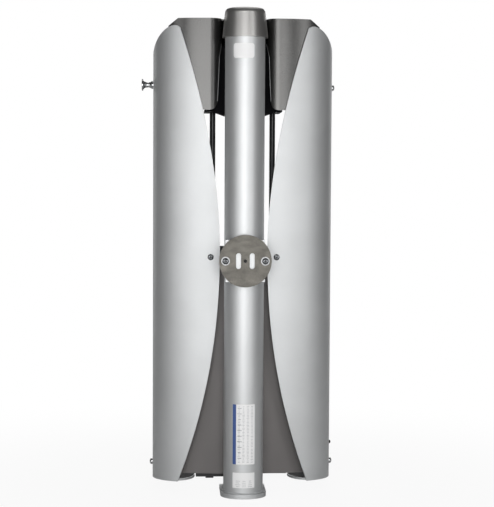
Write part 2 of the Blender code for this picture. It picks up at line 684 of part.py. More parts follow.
def make_top_frame():
    """An upright plate behind the column, with the deck that holds the rods and the pulley."""
    half, shoulder = 0.097, 1.2265
    outline = [(-half, shoulder), (-COLUMN_R, 1.2145), (COLUMN_R, 1.2145), (half, shoulder), (half, 1.440), (-half, 1.440)]
    frame = add_mesh("top_frame", prism_mesh("frame", outline, 0.068, 0.074, "XZ"), "black")
    deck = box_mesh("deck", (-0.125, 0.071, 1.230), (0.125, 0.215, 1.240))
    boolean(frame, cutter("frame_deck", deck), "UNION")
    slot = box_mesh("slot", (-0.028, 0.05, 1.240), (0.028, 0.0745, 1.50))
    boolean(frame, cutter("frame_slot", slot))
    for name, x, radius in (("left", -ROD_X, ROD_R + GAP), ("right", ROD_X, ROD_R + GAP), ("cable", 0, 0.009)):
        boolean(frame, cutter("frame_hole_" + name, rod_mesh("hole", radius, (x, STACK_Y, 1.20), 0.06, sides=24)))

    axle_y, axle_z = HEAD_PULLEY_R, HEAD_PULLEY_Z
    bracket = add_mesh("head_pulley_bracket", box_mesh("base", (-0.030, 0.078, 1.2403), (0.030, 0.125, 1.2463)), "black")
    for side, sign in (("left", -1), ("right", 1)):
        low_x, high_x = sorted((sign * 0.0145, sign * 0.0185))
        cheek = box_mesh("cheek", (low_x, 0.066, 1.2403), (high_x, 0.110, axle_z + 0.035))
        boolean(bracket, cutter("bracket_cheek_" + side, cheek), "UNION")
    boolean(bracket, cutter("bracket_axle_hole", rod_mesh("hole", 0.0083, (-0.05, axle_y, axle_z), 0.1, "X", 20)))
    axle = [(0, 0.0255), (0.0100, 0.0255), (0.0100, 0.0190), (0.0080, 0.0190), (0.0080, -0.0190),
            (0.0100, -0.0190), (0.0100, -0.0255), (0, -0.0255)]
    turned("head_pulley_axle", axle, "steel", (0, axle_y, axle_z), "X", 24)


def pulley_profile(cable_r, bore, half_t):
    """Section of a grooved wheel with a thinner web between hub and rim, as a closed ring."""
    rim = cable_r + PULLEY_LIP
    floor = cable_r - CABLE_R - 0.0008
    web_in, web_out, web = bore + 0.010, floor - 0.006, half_t - 0.004
    upper = [(bore, half_t), (web_in, half_t), (web_in, web), (web_out, web), (web_out, half_t - 0.0005),
             (rim, half_t - 0.0025), (floor, 0.0040)]
    return upper + [(r, -h) for r, h in reversed(upper)]


def make_pulleys():
    turned("head_pulley", pulley_profile(HEAD_PULLEY_R, 0.0084, PULLEY_HALF_T), "nylon",
           (0, HEAD_PULLEY_R, HEAD_PULLEY_Z), "X", 36, closed=True)
    low_z = CABLE_EXIT_Z + LOW_PULLEY_R
    turned("low_pulley", pulley_profile(LOW_PULLEY_R, 0.0064, PULLEY_HALF_T), "nylon",
           (0, LOW_PULLEY_R, low_z), "X", 32, closed=True)
    inner, outer = 0.0572, 0.0617
    axle = [(0, outer), (0.0090, outer), (0.0090, inner), (0.0060, inner), (0.0060, -inner),
            (0.0090, -inner), (0.0090, -outer), (0, -outer)]
    turned("low_pulley_axle", axle, "steel", (0, LOW_PULLEY_R, low_z), "X", 24)


# ------------------------------------------------------------------ cable

def cable_piece(name, points):
    curve = bpy.data.curves.new(name, "CURVE")
    curve.dimensions = "3D"
    curve.bevel_depth = CABLE_R
    curve.bevel_resolution = 2
    curve.use_fill_caps = True
    spline = curve.splines.new("POLY")
    spline.points.add(len(points) - 1)
    for point, co in zip(spline.points, points):
        point.co = (*co, 1)
    obj = bpy.data.objects.new(name, curve)
    PARTS.objects.link(obj)
    paint(obj, "black")


def make_cable():
    """The rising run, then the fixed route: over the head pulley, down the column, out behind."""
    cable_piece("cable_lift_run", [(0, STACK_Y, STEM_TOP + GAP), (0, STACK_Y, HEAD_PULLEY_Z - GAP)])
    over = [(0, y, z) for y, z in arc(HEAD_PULLEY_R, HEAD_PULLEY_Z, HEAD_PULLEY_R, HEAD_PULLEY_R, 0, 180, 24)]
    low_z = CABLE_EXIT_Z + LOW_PULLEY_R
    under = [(0, y, z) for y, z in arc(LOW_PULLEY_R, low_z, LOW_PULLEY_R, LOW_PULLEY_R, 180, 270, 12)]
    cable_piece("cable_column_run", over + under + [(0, CABLE_END_Y, CABLE_EXIT_Z)])
    stud = [(0, 0.040), (0.0040, 0.040), (0.0048, 0.0392), (0.0048, 0.020), (0.0065, 0.020),
            (0.0065, 0.001), (0.0055, 0), (0, 0)]
    turned("cable_end_stud", stud, "steel", (0, CABLE_END_Y + GAP, CABLE_EXIT_Z), "Y", 20)


# ------------------------------------------------------------------ guide rods and stack

def drilled(obj, holes):
    for tool in holes:
        boolean(obj, tool)


def make_rods():
    for side, sign in (("left", -1), ("right", 1)):
        rod = rod_mesh("rod", ROD_R, (sign * ROD_X, STACK_Y, REST_Z[1] + GAP), ROD_TOP - REST_Z[1], sides=24)
        add_mesh("guide_rod_" + side, rod, "black")
        low, high = REST_Z[1] + GAP, STACK_Z - GAP
        ring = [(0.021, high), (0.024, high - 0.004), (0.024, low + 0.004), (0.021, low), (0.0103, low), (0.0103, high)]
        turned("stack_bumper_" + side, ring, "rubber", (sign * ROD_X, STACK_Y, 0), "Z", 20, closed=True)


def plate_body(name, low, high):
    """A plate with two guide holes, the stem hole and the pin hole from the back."""
    w, d, _ = PLATE_SIZE
    mesh = round_box_mesh(name, (-w / 2, STACK_Y - d / 2, low), (w / 2, STACK_Y + d / 2, high), 0.010, 3)
    obj = bpy.data.objects.new(name, mesh)
    CUTTERS.objects.link(obj)
    holes = [cutter(name + "_" + tag, rod_mesh("hole", radius, (x, STACK_Y, low - 0.05), 0.2, sides=14))
             for tag, x, radius in (("left", -ROD_X, 0.0103), ("right", ROD_X, 0.0103), ("stem", 0, STEM_HOLE_R))]
    middle = (low + high) / 2
    holes.append(cutter(name + "_pin", rod_mesh("hole", PIN_HOLE_R, (0, STACK_Y, middle), 0.1, "Y", 8)))
    drilled(obj, holes)
    return mesh_of(obj, name)


def make_stack():
    """Plates from the bottom up; those from the pinned plate upwards ride on the carriage."""
    carriage = bpy.data.objects.new("carriage", None)
    carriage.location = (0, STACK_Y, STACK_Z)
    PARTS.objects.link(carriage)
    shared = plate_body("weight_plate", 0.0, PLATE_SIZE[2])
    for index in range(PLATE_COUNT):
        plate = bpy.data.objects.new("weight_plate_%02d" % (PLATE_COUNT - index), shared.copy())
        plate.location = (0, 0, STACK_Z + index * PLATE_PITCH)
        PARTS.objects.link(plate)
        paint(plate, "plate")
        if index >= PLATE_COUNT - LIFTED_PLATES:
            hang_on(plate, carriage)
    head_low = STACK_Z + PLATE_COUNT * PLATE_PITCH
    head_high = head_low + 0.0381
    head = add_mesh("head_plate", plate_body("head_plate", head_low, head_high), "plate")
    hang_on(head, carriage)
    hang_on(make_stem(head_high), carriage)
    hang_on(make_pin(), carriage)


def hang_on(obj, parent):
    bpy.context.view_layer.update()
    world = obj.matrix_world.copy()
    obj.parent = parent
    obj.matrix_parent_inverse = parent.matrix_world.inverted()
    obj.matrix_world = world


def pinned_plate_z():
    index = PLATE_COUNT - LIFTED_PLATES
    return STACK_Z + index * PLATE_PITCH + PLATE_SIZE[2] / 2


def make_stem(head_top):
    """The selector stem: a drilled rod with a flange on the head plate and a neck for the cable."""
    flange = head_top + GAP
    bottom = STACK_Z + 0.002
    profile = [(0, STEM_TOP), (0.0075, STEM_TOP), (0.0085, STEM_TOP - 0.002), (0.0085, flange + 0.022),
               (0.0140, flange + 0.022), (0.0140, flange + 0.010), (0.0200, flange + 0.009),
               (0.0200, flange), (STEM_R, flange), (STEM_R, bottom + 0.003), (STEM_R - 0.003, bottom), (0, bottom)]
    stem = turned("selector_stem", profile, "chrome", (0, STACK_Y, 0), "Z", 24)
    bm = bmesh.new()
    for index in range(PLATE_COUNT):
        z = STACK_Z + index * PLATE_PITCH + PLATE_SIZE[2] / 2
        place = Matrix.Translation((0, STACK_Y, z)) @ AXIS_TURN["Y"]
        bmesh.ops.create_cone(bm, cap_ends=True, segments=8, radius1=PIN_HOLE_R, radius2=PIN_HOLE_R,
                              depth=0.06, matrix=place)
    boolean(stem, cutter("stem_pin_holes", mesh_from(bm, "pin_holes")))
    return stem


def make_pin():
    """The selector pin, pulled out towards the user by its round knob."""
    tip, face = STACK_Y - 0.012, STACK_Y + PLATE_SIZE[1] / 2
    length = face - tip
    profile = [(0, length + 0.036), (0.008, length + 0.036), (0.0150, length + 0.031), (0.0165, length + 0.022),
               (0.0150, length + 0.012), (0.0100, length + 0.006), (0.0100, length + 0.002),
               (PIN_R, length + 0.002), (PIN_R, 0.002), (PIN_R - 0.002, 0), (0, 0)]
    return turned("selector_pin", profile, "nylon", (0, tip, pinned_plate_z()), "Y", 24)


# ------------------------------------------------------------------ build

clear_scene()
PARTS = make_collection("weight_stack_tower")
CUTTERS = make_collection("cutters")

make_column()
make_medallion()
make_shells()
make_crossbar()
make_cap()
make_cover()
make_lower_panel()
make_base()
make_top_frame()
make_pulleys()
make_cable()
make_rods()
make_stack()
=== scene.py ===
# %% [markdown]
# # A weight-stack tower, dressed for the studio
# This lesson dresses a finished engineering model. The object is the tower of a strength machine:
# a round steel column with a bolted medallion, two curved side shells, a moulded head cover and,
# inside, a stack of steel plates on guide rods. The engineering model gives every size and every
# joint, so nothing here is moved or resized. What we add is the finish: smooth skins where the
# model is faceted, rounded edges, fasteners, labels, and a material for every piece.

# %% Load the frame
import json
import math

import bmesh
import bpy
from mathutils import Matrix, Vector
from mathutils.bvhtree import BVHTree


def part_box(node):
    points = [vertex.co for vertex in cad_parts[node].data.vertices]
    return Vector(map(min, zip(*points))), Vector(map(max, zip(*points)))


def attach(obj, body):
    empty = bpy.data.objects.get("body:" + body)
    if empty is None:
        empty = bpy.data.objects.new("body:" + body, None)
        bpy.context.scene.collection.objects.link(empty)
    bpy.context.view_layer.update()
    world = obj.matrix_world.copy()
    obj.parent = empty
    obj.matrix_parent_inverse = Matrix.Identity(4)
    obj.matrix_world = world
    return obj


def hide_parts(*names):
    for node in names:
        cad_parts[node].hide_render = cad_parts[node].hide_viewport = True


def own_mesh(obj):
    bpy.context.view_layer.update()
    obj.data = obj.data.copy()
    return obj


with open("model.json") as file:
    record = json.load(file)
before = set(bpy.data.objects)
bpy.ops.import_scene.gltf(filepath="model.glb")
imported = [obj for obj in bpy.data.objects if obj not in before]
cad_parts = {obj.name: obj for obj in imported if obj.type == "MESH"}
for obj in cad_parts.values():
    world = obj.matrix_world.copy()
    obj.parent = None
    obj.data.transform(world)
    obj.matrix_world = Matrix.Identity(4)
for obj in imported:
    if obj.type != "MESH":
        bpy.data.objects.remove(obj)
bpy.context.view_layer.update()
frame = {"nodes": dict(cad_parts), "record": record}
NODES = frame["nodes"]

# %% [markdown]
# ## Sizes from the frame
# Sizes come from the boxes of the model's own pieces, so this script follows the model if it
# changes. A few numbers describe curves that a box can't hold, such as how quickly a leaf widens.

# %% Sizes of the column and the plates
def centre(node):
    return tuple((a + b) / 2 for a, b in zip(*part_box(node)))


COLUMN_LOW, COLUMN_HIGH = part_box("column_tube")
COLUMN_R = (COLUMN_HIGH[0] - COLUMN_LOW[0]) / 2
COLUMN_WALL = 0.004
PLATE_LOW, PLATE_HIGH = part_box("weight_plate_01")
STACK_Y = centre("weight_plate_01")[1]
ROD_LOW, ROD_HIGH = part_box("guide_rod_right")
ROD_X, ROD_R = centre("guide_rod_right")[0], (ROD_HIGH[0] - ROD_LOW[0]) / 2
FIT = 0.0003  # the clearance between fitted pieces
print("column radius %.4f, stack at y %.3f, rods at x %.4f" % (COLUMN_R, STACK_Y, ROD_X))

# %% Sizes of the shells and the cover
SHELL_LOW, SHELL_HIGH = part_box("shell_right")
SHELL_HALF_W, SHELL_FRONT_Y, SHELL_BACK_Y = SHELL_HIGH[0], SHELL_LOW[1], SHELL_HIGH[1]
SHELL_BOTTOM, TIP_Z = SHELL_LOW[2], SHELL_HIGH[2]
SHELL_WIDEST_Y, SHELL_FLAT_X, SHELL_BACK_X = 0.14, 0.092, 0.235
SHELL_T, PLAN_POWER, BACK_POWER = 0.003, 2.4, 2.2
WAIST_X, WAIST_Z = 0.0763, 0.79
LEAF_UPPER, LEAF_LOWER = (0.244, 1.806), (0.2446, 2.15)
TIP_X, SHOULDER_Z, TIP_ROUND, SHOULDER_POWER = 0.225, 1.415, 0.013, 1.75
COVER_LOW, COVER_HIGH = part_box("head_cover")
COVER_TOP, CAP_BOTTOM = COVER_HIGH[2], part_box("column_cap")[0][2]
print("shell: %.3f wide, %.3f to %.3f high" % (SHELL_HALF_W, SHELL_BOTTOM, TIP_Z))

# %% [markdown]
# ## Helpers
# Every finished piece is a plain mesh whose object sits at the origin. `keep` makes that object,
# gives it a material, says which body it rides on and hides the model nodes it stands for.

# %% Turn working objects and bmeshes into plain meshes
def working(data, name="work"):
    obj = bpy.data.objects.new(name, data)
    bpy.context.scene.collection.objects.link(obj)
    return obj


def plain(obj):
    """Apply an object's modifiers and placing, and keep only the mesh."""
    bpy.context.view_layer.update()
    graph = bpy.context.evaluated_depsgraph_get()
    mesh = bpy.data.meshes.new_from_object(obj.evaluated_get(graph))
    mesh.transform(obj.matrix_world)
    bpy.data.objects.remove(obj, do_unlink=True)
    return mesh


def as_mesh(bm):
    mesh = bpy.data.meshes.new("made")
    bm.to_mesh(mesh)
    bm.free()
    return mesh


def clean_mesh(bm, merge=1e-6):
    bmesh.ops.remove_doubles(bm, verts=bm.verts, dist=merge)
    bmesh.ops.recalc_face_normals(bm, faces=bm.faces)
    return as_mesh(bm)


def keep(name, mesh, material, *nodes, body="tower", slot=None, smooth=35):
    mesh.materials.clear()
    mesh.materials.append(material)
    if smooth:
        mesh.shade_smooth()
        mesh.set_sharp_from_angle(angle=math.radians(smooth))
        flat = working(mesh)
        even = flat.modifiers.new("normals", "WEIGHTED_NORMAL")
        even.mode, even.weight, even.keep_sharp = "FACE_AREA", 100, True
        mesh = plain(flat)
    mesh.name = name
    obj = working(mesh, name)
    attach(obj, body)
    if nodes:
        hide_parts(*nodes)
    print("%-24s %6d faces on %s" % (name, len(mesh.polygons), body))
    return obj


# %% Cylinders, boxes and turned shapes
TURN = {"X": Matrix.Rotation(math.pi / 2, 4, "Y"), "Y": Matrix.Rotation(-math.pi / 2, 4, "X"),
        "Z": Matrix.Identity(4)}


def cylinder(radius, start, length, axis="Z", sides=64):
    bm = bmesh.new()
    place = Matrix.Translation(start) @ TURN[axis] @ Matrix.Translation((0, 0, length / 2))
    bmesh.ops.create_cone(bm, cap_ends=True, segments=sides, radius1=radius, radius2=radius,
                          depth=length, matrix=place)
    return clean_mesh(bm)


def block(low, high):
    bm = bmesh.new()
    low, high = Vector(low), Vector(high)
    bmesh.ops.create_cube(bm, size=1.0, matrix=Matrix.Translation((low + high) / 2)
                          @ Matrix.Diagonal((*(high - low), 1)))
    return clean_mesh(bm)


def lathe(profile, middle=(0, 0, 0), axis="Z", steps=64, closed=False):
    """Turn a (radius, height) profile round an axis through the middle."""
    bm = bmesh.new()
    verts = [bm.verts.new((r, 0, h)) for r, h in profile]
    pairs = list(zip(verts, verts[1:])) + ([(verts[-1], verts[0])] if closed else [])
    edges = [bm.edges.new(pair) for pair in pairs]
    bmesh.ops.spin(bm, geom=verts + edges, axis=(0, 0, 1), cent=(0, 0, 0), angle=2 * math.pi,
                   steps=steps, use_merge=True)
    bmesh.ops.transform(bm, matrix=Matrix.Translation(middle) @ TURN[axis], verts=bm.verts)
    return clean_mesh(bm, 1e-5)


# %% Outlines and bars from curves
def arc(cx, cy, rx, ry, start, end, steps):
    """Points along part of an ellipse, angles in degrees."""
    angles = [math.radians(start + (end - start) * i / steps) for i in range(steps + 1)]
    return [(cx + rx * math.cos(t), cy + ry * math.sin(t)) for t in angles]


def rounded_box(half_w, half_h, corner):
    """A rectangle's outline with round corners."""
    corners = ((1, 1, 0), (-1, 1, 90), (-1, -1, 180), (1, -1, 270))
    return [p for sx, sy, a in corners
            for p in arc(sx * (half_w - corner), sy * (half_h - corner), corner, corner, a, a + 90, 6)]


def mirrored(points):
    return [(-x, y) for x, y in points]


def curve_through(points, dimensions):
    curve = bpy.data.curves.new("path", "CURVE")
    curve.dimensions = dimensions
    spline = curve.splines.new("POLY")
    spline.points.add(len(points) - 1)
    for point, co in zip(spline.points, points):
        point.co = (*co, 1)
    return curve, spline


def flat_outline(points, low, high, plane="XY"):
    """A filled outline with thickness, in plan (XY) or in front elevation (XZ)."""
    curve, spline = curve_through([(a, b, 0) for a, b in points], "2D")
    curve.fill_mode, curve.extrude = "BOTH", (high - low) / 2
    spline.use_cyclic_u = True
    obj = working(curve)
    middle = (low + high) / 2
    obj.matrix_world = (Matrix.Translation((0, 0, middle)) if plane == "XY" else
                        Matrix.Translation((0, middle, 0)) @ Matrix.Rotation(math.pi / 2, 4, "X"))
    bm = bmesh.new()
    bm.from_mesh(plain(obj))
    return clean_mesh(bm)


def bar_along(points, radius, sides=4):
    curve, _ = curve_through(points, "3D")
    curve.bevel_depth, curve.bevel_resolution, curve.use_fill_caps = radius, sides, True
    bm = bmesh.new()
    bm.from_mesh(plain(working(curve)))
    return clean_mesh(bm)


# %% Cut, join, round, thicken and mirror a mesh
def combine(mesh, *cuts, add=None, common=None, edge=0.0, segments=3, angle=40):
    """Join or intersect one mesh, cut others out, then round the sharp edges."""
    obj = working(mesh)
    steps = [("UNION", add), ("INTERSECT", common)] + [("DIFFERENCE", cut) for cut in cuts]
    tools = []
    for operation, tool in steps:
        if tool is None:
            continue
        helper = working(tool, "tool")
        helper.hide_render = True
        mod = obj.modifiers.new(operation, "BOOLEAN")
        mod.operation, mod.solver, mod.object = operation, "EXACT", helper
        tools.append(helper)
    if edge:
        mod = obj.modifiers.new("round", "BEVEL")
        mod.width, mod.segments, mod.limit_method = edge, segments, "ANGLE"
        mod.angle_limit = math.radians(angle)
        mod.use_clamp_overlap = True
    result = plain(obj)
    for helper in tools:
        bpy.data.objects.remove(helper, do_unlink=True)
    return result


def joined(*meshes):
    bm = bmesh.new()
    for mesh in meshes:
        bm.from_mesh(mesh)
    return as_mesh(bm)


def thicken(mesh, thickness, offset):
    obj = working(mesh)
    solid = obj.modifiers.new("sheet", "SOLIDIFY")
    solid.thickness, solid.offset, solid.use_even_offset = thickness, offset, True
    return plain(obj)


def mirror_mesh(mesh):
    copy = mesh.copy()
    copy.transform(Matrix.Diagonal((-1, 1, 1, 1)))
    copy.flip_normals()
    return copy


# %% Add a node to any tree
def add_node(tree, kind, links=None, **settings):
    """links maps an input's name or number to a socket or a value."""
    made = tree.nodes.new(kind)
    for key, value in settings.items():
        setattr(made, key, value)
    for key, value in (links or {}).items():
        if isinstance(value, bpy.types.NodeSocket):
            tree.links.new(value, made.inputs[key])
        else:
            made.inputs[key].default_value = value
    return made.outputs


# %% [markdown]
# ## Materials
# Paint, moulded plastic and plated steel all share one recipe: a base colour that varies a little
# over the surface, a fine grain for flakes or texture, and a small bump that breaks up highlights.
# The recipe is one function, and each finish is one call with its own scale and strength.

# %% The finish recipe
BUMP_DEPTH = 0.001
NOISE_LOW, NOISE_HIGH = 0.3, 0.7


def finish(name, color, metallic, roughness, grain=(700, 0.05), mottle=(9, 0.03),
           relief=(400, 0.02), spread=0.04, stretch=(1, 1, 1), coat=(0.0, 0.1), shine=0.5):
    """grain and mottle are (scale, share of colour); relief is (scale, strength)."""
    mat = bpy.data.materials.new(name)
    mat.use_nodes = True
    tree = mat.node_tree
    bsdf = tree.nodes["Principled BSDF"]
    coords = add_node(tree, "ShaderNodeTexCoord")["Object"]
    point = add_node(tree, "ShaderNodeMapping", {"Vector": coords, "Scale": stretch})["Vector"]

    def noise(scale, detail=2.0):
        return add_node(tree, "ShaderNodeTexNoise",
                        {"Vector": point, "Scale": scale, "Detail": detail})["Fac"]

    def ranged(source, low, high):
        return add_node(tree, "ShaderNodeMapRange", {
            "Value": source, "From Min": NOISE_LOW, "From Max": NOISE_HIGH,
            "To Min": low, "To Max": high})["Result"]

    def scaled(value, factor):
        return add_node(tree, "ShaderNodeVectorMath", {0: value, "Scale": factor},
                        operation="SCALE")["Vector"]

    fine = ranged(noise(grain[0]), 1 - grain[1], 1 + grain[1])
    broad = ranged(noise(mottle[0], 3.0), 1 - mottle[1], 1 + mottle[1])
    rough = ranged(noise(grain[0] * 0.6), roughness - spread, roughness + spread)
    bump = add_node(tree, "ShaderNodeBump", {"Height": noise(relief[0]), "Strength": relief[1],
                                             "Distance": BUMP_DEPTH})["Normal"]
    for key, socket in (("Base Color", scaled(scaled(color, fine), broad)),
                        ("Roughness", rough), ("Normal", bump)):
        tree.links.new(socket, bsdf.inputs[key])
    for key, value in (("Metallic", metallic), ("Specular IOR Level", shine),
                       ("Coat Weight", coat[0]), ("Coat Roughness", coat[1])):
        bsdf.inputs[key].default_value = value
    return mat


# %% Painted, moulded and plated finishes
SILVER_AND_LIT_EDGE = finish("silver_paint", (0.55, 0.56, 0.565), 0.65, 0.50,
                grain=(1500, 0.05), relief=(900, 0.03))
COLUMN_SILVER = finish("column_silver_paint", (0.60, 0.61, 0.615), 0.68, 0.48,
                       grain=(1500, 0.06), relief=(700, 0.03), coat=(0.03, 0.2))
CHARCOAL = finish("charcoal_moulding", (0.096, 0.095, 0.093), 0.90, 0.28,
                  grain=(1800, 0.08), relief=(1300, 0.05))
# Painted light: the cap is the cover's charcoal made five times brighter, for a stronger highlight
CHARCOAL_CAP_LIT = finish("charcoal_cap_lit_copy", (0.510, 0.502, 0.490), 0.95, 0.37,
                      grain=(1800, 0.08), relief=(1300, 0.05))
# Painted shade: near-black, almost no shine, for the cover's inside, the top frame and the pod floors
SHADE_BLACK = finish("painted_shade_black", (0.005, 0.005, 0.006), 0.0, 0.70,
                grain=(900, 0.10), relief=(900, 0.10), shine=0.04)
PANEL = finish("panel_grey", (0.150, 0.141, 0.138), 0.25, 0.50,
               grain=(1400, 0.08), relief=(1000, 0.06))
BLACK = finish("black_powder_coat", (0.016, 0.016, 0.017), 0.0, 0.48,
               grain=(900, 0.10), relief=(1100, 0.12))
GLOSS_BLACK = finish("black_rod", (0.010, 0.010, 0.011), 0.3, 0.24,
                     relief=(500, 0.02))
DISC = finish("speckled_disc_steel", (0.120, 0.113, 0.099), 0.60, 0.46,
              grain=(950, 0.45), mottle=(34, 0.32), relief=(800, 0.22), spread=0.10,
              stretch=(0.7, 1, 1.2))
ZINC_AND_GLINT = finish("bright_zinc", (0.33, 0.335, 0.34), 1.0, 0.42,
              grain=(500, 0.05), relief=(600, 0.03))
DARK_ZINC = finish("dark_zinc", (0.17, 0.178, 0.185), 1.0, 0.22,
                   grain=(500, 0.08), relief=(600, 0.03))
CHROME = finish("chrome", (0.50, 0.505, 0.51), 1.0, 0.16,
                grain=(300, 0.02), relief=(200, 0.01), spread=0.02)
# Dark: the plates' printed numbers, and painted shade in the screws' sockets.
DARK_PRINT_AND_SHADE = finish("dark_print_and_socket_shade", (0.05, 0.05, 0.05), 0.6, 0.45)
RUBBER = finish("black_rubber", (0.018, 0.018, 0.018), 0.0, 0.72,
                grain=(700, 0.12), relief=(600, 0.20))
NYLON = finish("black_nylon", (0.022, 0.022, 0.024), 0.0, 0.42,
               grain=(900, 0.08), relief=(700, 0.06))
PLATE = finish("plate_paint", (0.045, 0.045, 0.047), 0.15, 0.55,
               grain=(800, 0.15), mottle=(14, 0.08), relief=(420, 0.25))
VINYL = finish("white_vinyl", (0.90, 0.90, 0.90), 0.0, 0.38,
               grain=(600, 0.015), mottle=(20, 0.01))
BLUE = finish("blue_ink", (0.055, 0.105, 0.300), 0.0, 0.40, grain=(600, 0.05))
INK = finish("grey_ink", (0.30, 0.31, 0.33), 0.0, 0.45, grain=(600, 0.10))
print("materials:", len(bpy.data.materials))

# %% [markdown]
# ## A small kit for Geometry Nodes
# Several details repeat: the plates of the stack, the marks on the chart, the beads of a weld, the
# screws. Each is one node tree with named inputs. `Tree` builds a tree and `grown` runs it on a
# mesh and returns a plain mesh, so no instance or modifier is left behind.

# %% Build and run node trees
class Tree:
    def __init__(self, name, **inputs):
        self.group = bpy.data.node_groups.new(name, "GeometryNodeTree")
        face = self.group.interface
        face.new_socket("Geometry", in_out="INPUT", socket_type="NodeSocketGeometry")
        for key, kind in inputs.items():
            face.new_socket(key, in_out="INPUT", socket_type="NodeSocket" + kind)
        face.new_socket("Geometry", in_out="OUTPUT", socket_type="NodeSocketGeometry")
        self.given = self.group.nodes.new("NodeGroupInput").outputs
        self.end = self.group.nodes.new("NodeGroupOutput")

    def node(self, kind, links=None, **settings):
        return add_node(self.group, kind, links, **settings)

    def math(self, operation, a, b=0.0):
        return self.node("ShaderNodeMath", {0: a, 1: b}, operation=operation)[0]

    def xyz(self, **parts):
        return self.node("ShaderNodeCombineXYZ", parts)[0]

    def position(self):
        place = self.node("GeometryNodeInputPosition")[0]
        return self.node("ShaderNodeSeparateXYZ", {"Vector": place})

    def random(self, low, high, seed):
        return self.node("FunctionNodeRandomValue", {2: low, 3: high, "Seed": seed},
                         data_type="FLOAT")[1]

    def copies(self, points, instance, **more):
        return self.node("GeometryNodeInstanceOnPoints",
                         {"Points": points, "Instance": instance, **more})[0]

    def finish(self, geometry):
        """Every tree ends the same way: real geometry, then its material."""
        real = self.node("GeometryNodeRealizeInstances", {"Geometry": geometry})[0]
        done = self.node("GeometryNodeSetMaterial",
                         {"Geometry": real, "Material": self.given["Material"]})[0]
        self.group.links.new(done, self.end.inputs["Geometry"])


def grown(tree, mesh=None, **values):
    """Run a tree on a mesh with values for its named inputs."""
    obj = working(mesh or bpy.data.meshes.new("seed"))
    mod = obj.modifiers.new("nodes", "NODES")
    mod.node_group = tree.group
    sockets = {item.name: item.identifier for item in tree.group.interface.items_tree
               if item.in_out == "INPUT"}
    for key, value in values.items():
        mod[sockets[key]] = value
    return plain(obj)


# %% [markdown]
# ## The studio
# A pale floor, a white surround for what the camera sees, and soft lamps: the widest in front, one
# on each side, one overhead and three behind. The surround that metal reflects is dimmer than the
# one the camera sees, as a real studio's walls are dimmer than its lit backdrop, and that keeps
# the silver from washing out at its edges.

# %% Surround
WHITE = (1, 1, 1, 1)
REFLECTED, AMBIENT = 0.03, 0.03


def ray_kinds(tree):
    """What the camera sees, straight or through glass, and what is only reflected."""
    path = add_node(tree, "ShaderNodeLightPath")
    seen = add_node(tree, "ShaderNodeMath", {0: path["Is Camera Ray"], 1: path["Is Transmission Ray"]},
                    operation="MAXIMUM")[0]
    return seen, path["Is Glossy Ray"]


world = bpy.data.worlds.new("studio")
bpy.context.scene.world = world
world.use_nodes = True
sky = world.node_tree
sky.nodes.clear()
seen, glossy = ray_kinds(sky)
dimmed = add_node(sky, "ShaderNodeMath", {0: glossy, 1: REFLECTED}, operation="MULTIPLY")[0]
share = add_node(sky, "ShaderNodeMath", {0: seen, 1: dimmed}, operation="MAXIMUM")[0]
ambient = add_node(sky, "ShaderNodeBackground", {"Color": WHITE, "Strength": AMBIENT})[0]
backdrop = add_node(sky, "ShaderNodeBackground", {"Color": WHITE})[0]
mixed = add_node(sky, "ShaderNodeMixShader", {0: share, 1: ambient, 2: backdrop})[0]
add_node(sky, "ShaderNodeOutputWorld", {"Surface": mixed})
print("surround:", len(sky.nodes), "nodes")

# %% Floor
FLOOR_SHADOW, SHADOW_FROM, SHADOW_TO = 0.08, 0.5, 2.0
floor_mat = bpy.data.materials.new("floor_white")
floor_mat.use_nodes = True
ground = floor_mat.node_tree
ground.nodes.clear()
spot = add_node(ground, "ShaderNodeTexCoord")["Object"]
away = add_node(ground, "ShaderNodeVectorMath", {0: spot}, operation="LENGTH")["Value"]
fade = add_node(ground, "ShaderNodeMapRange", {
    "Value": away, "From Min": SHADOW_FROM, "From Max": SHADOW_TO, "To Min": 1 - FLOOR_SHADOW,
    "To Max": 1.0}, interpolation_type="SMOOTHSTEP")["Result"]
part = add_node(ground, "ShaderNodeMath", {0: ray_kinds(ground)[0], 1: fade},
                operation="MULTIPLY")[0]
matt = add_node(ground, "ShaderNodeBsdfDiffuse", {"Color": (0.80, 0.80, 0.80, 1)})[0]
glow = add_node(ground, "ShaderNodeEmission")[0]
mixed = add_node(ground, "ShaderNodeMixShader", {0: part, 1: matt, 2: glow})[0]
add_node(ground, "ShaderNodeOutputMaterial", {"Surface": mixed})
bm = bmesh.new()
bmesh.ops.create_grid(bm, x_segments=1, y_segments=1, size=30)
floor = working(clean_mesh(bm), "floor")
floor.data.materials.append(floor_mat)
print("floor:", len(ground.nodes), "nodes")


# %% Lamps
def lamp(name, place, target, size, power):
    light = bpy.data.lights.new(name, "AREA")
    light.shape, light.size, light.size_y = "RECTANGLE", size[0], size[1]
    light.energy = power
    obj = working(light, name)
    obj.location = place
    obj.rotation_euler = (Vector(target) - Vector(place)).to_track_quat("-Z", "Y").to_euler()
    obj.visible_camera = False


lamp("key_front", (-0.35, -4.35, 0.68), (0, 0, 0.74), (3.2, 3.4), 152)
lamp("key_right", (2.5, -3.4, 1.3), (0, 0, 0.8), (1.2, 2.8), 34)
lamp("fill_left", (-2.8, -3.2, 1.2), (0, 0, 0.8), (1.0, 2.8), 20)
lamp("back", (0.3, 4.0, 1.5), (0, 0.1, 0.8), (2.6, 2.2), 62)
lamp("overhead", (0.2, 0.9, 4.2), (0, 0.1, 1.3), (2.8, 2.8), 24)
lamp("side_right", (3.0, 3.4, 1.2), (0, 0.15, 0.8), (1.4, 2.6), 14)
lamp("side_left", (-3.0, 3.4, 1.2), (0, 0.15, 0.8), (1.4, 2.6), 14)
print("lamps:", len(bpy.data.lights))

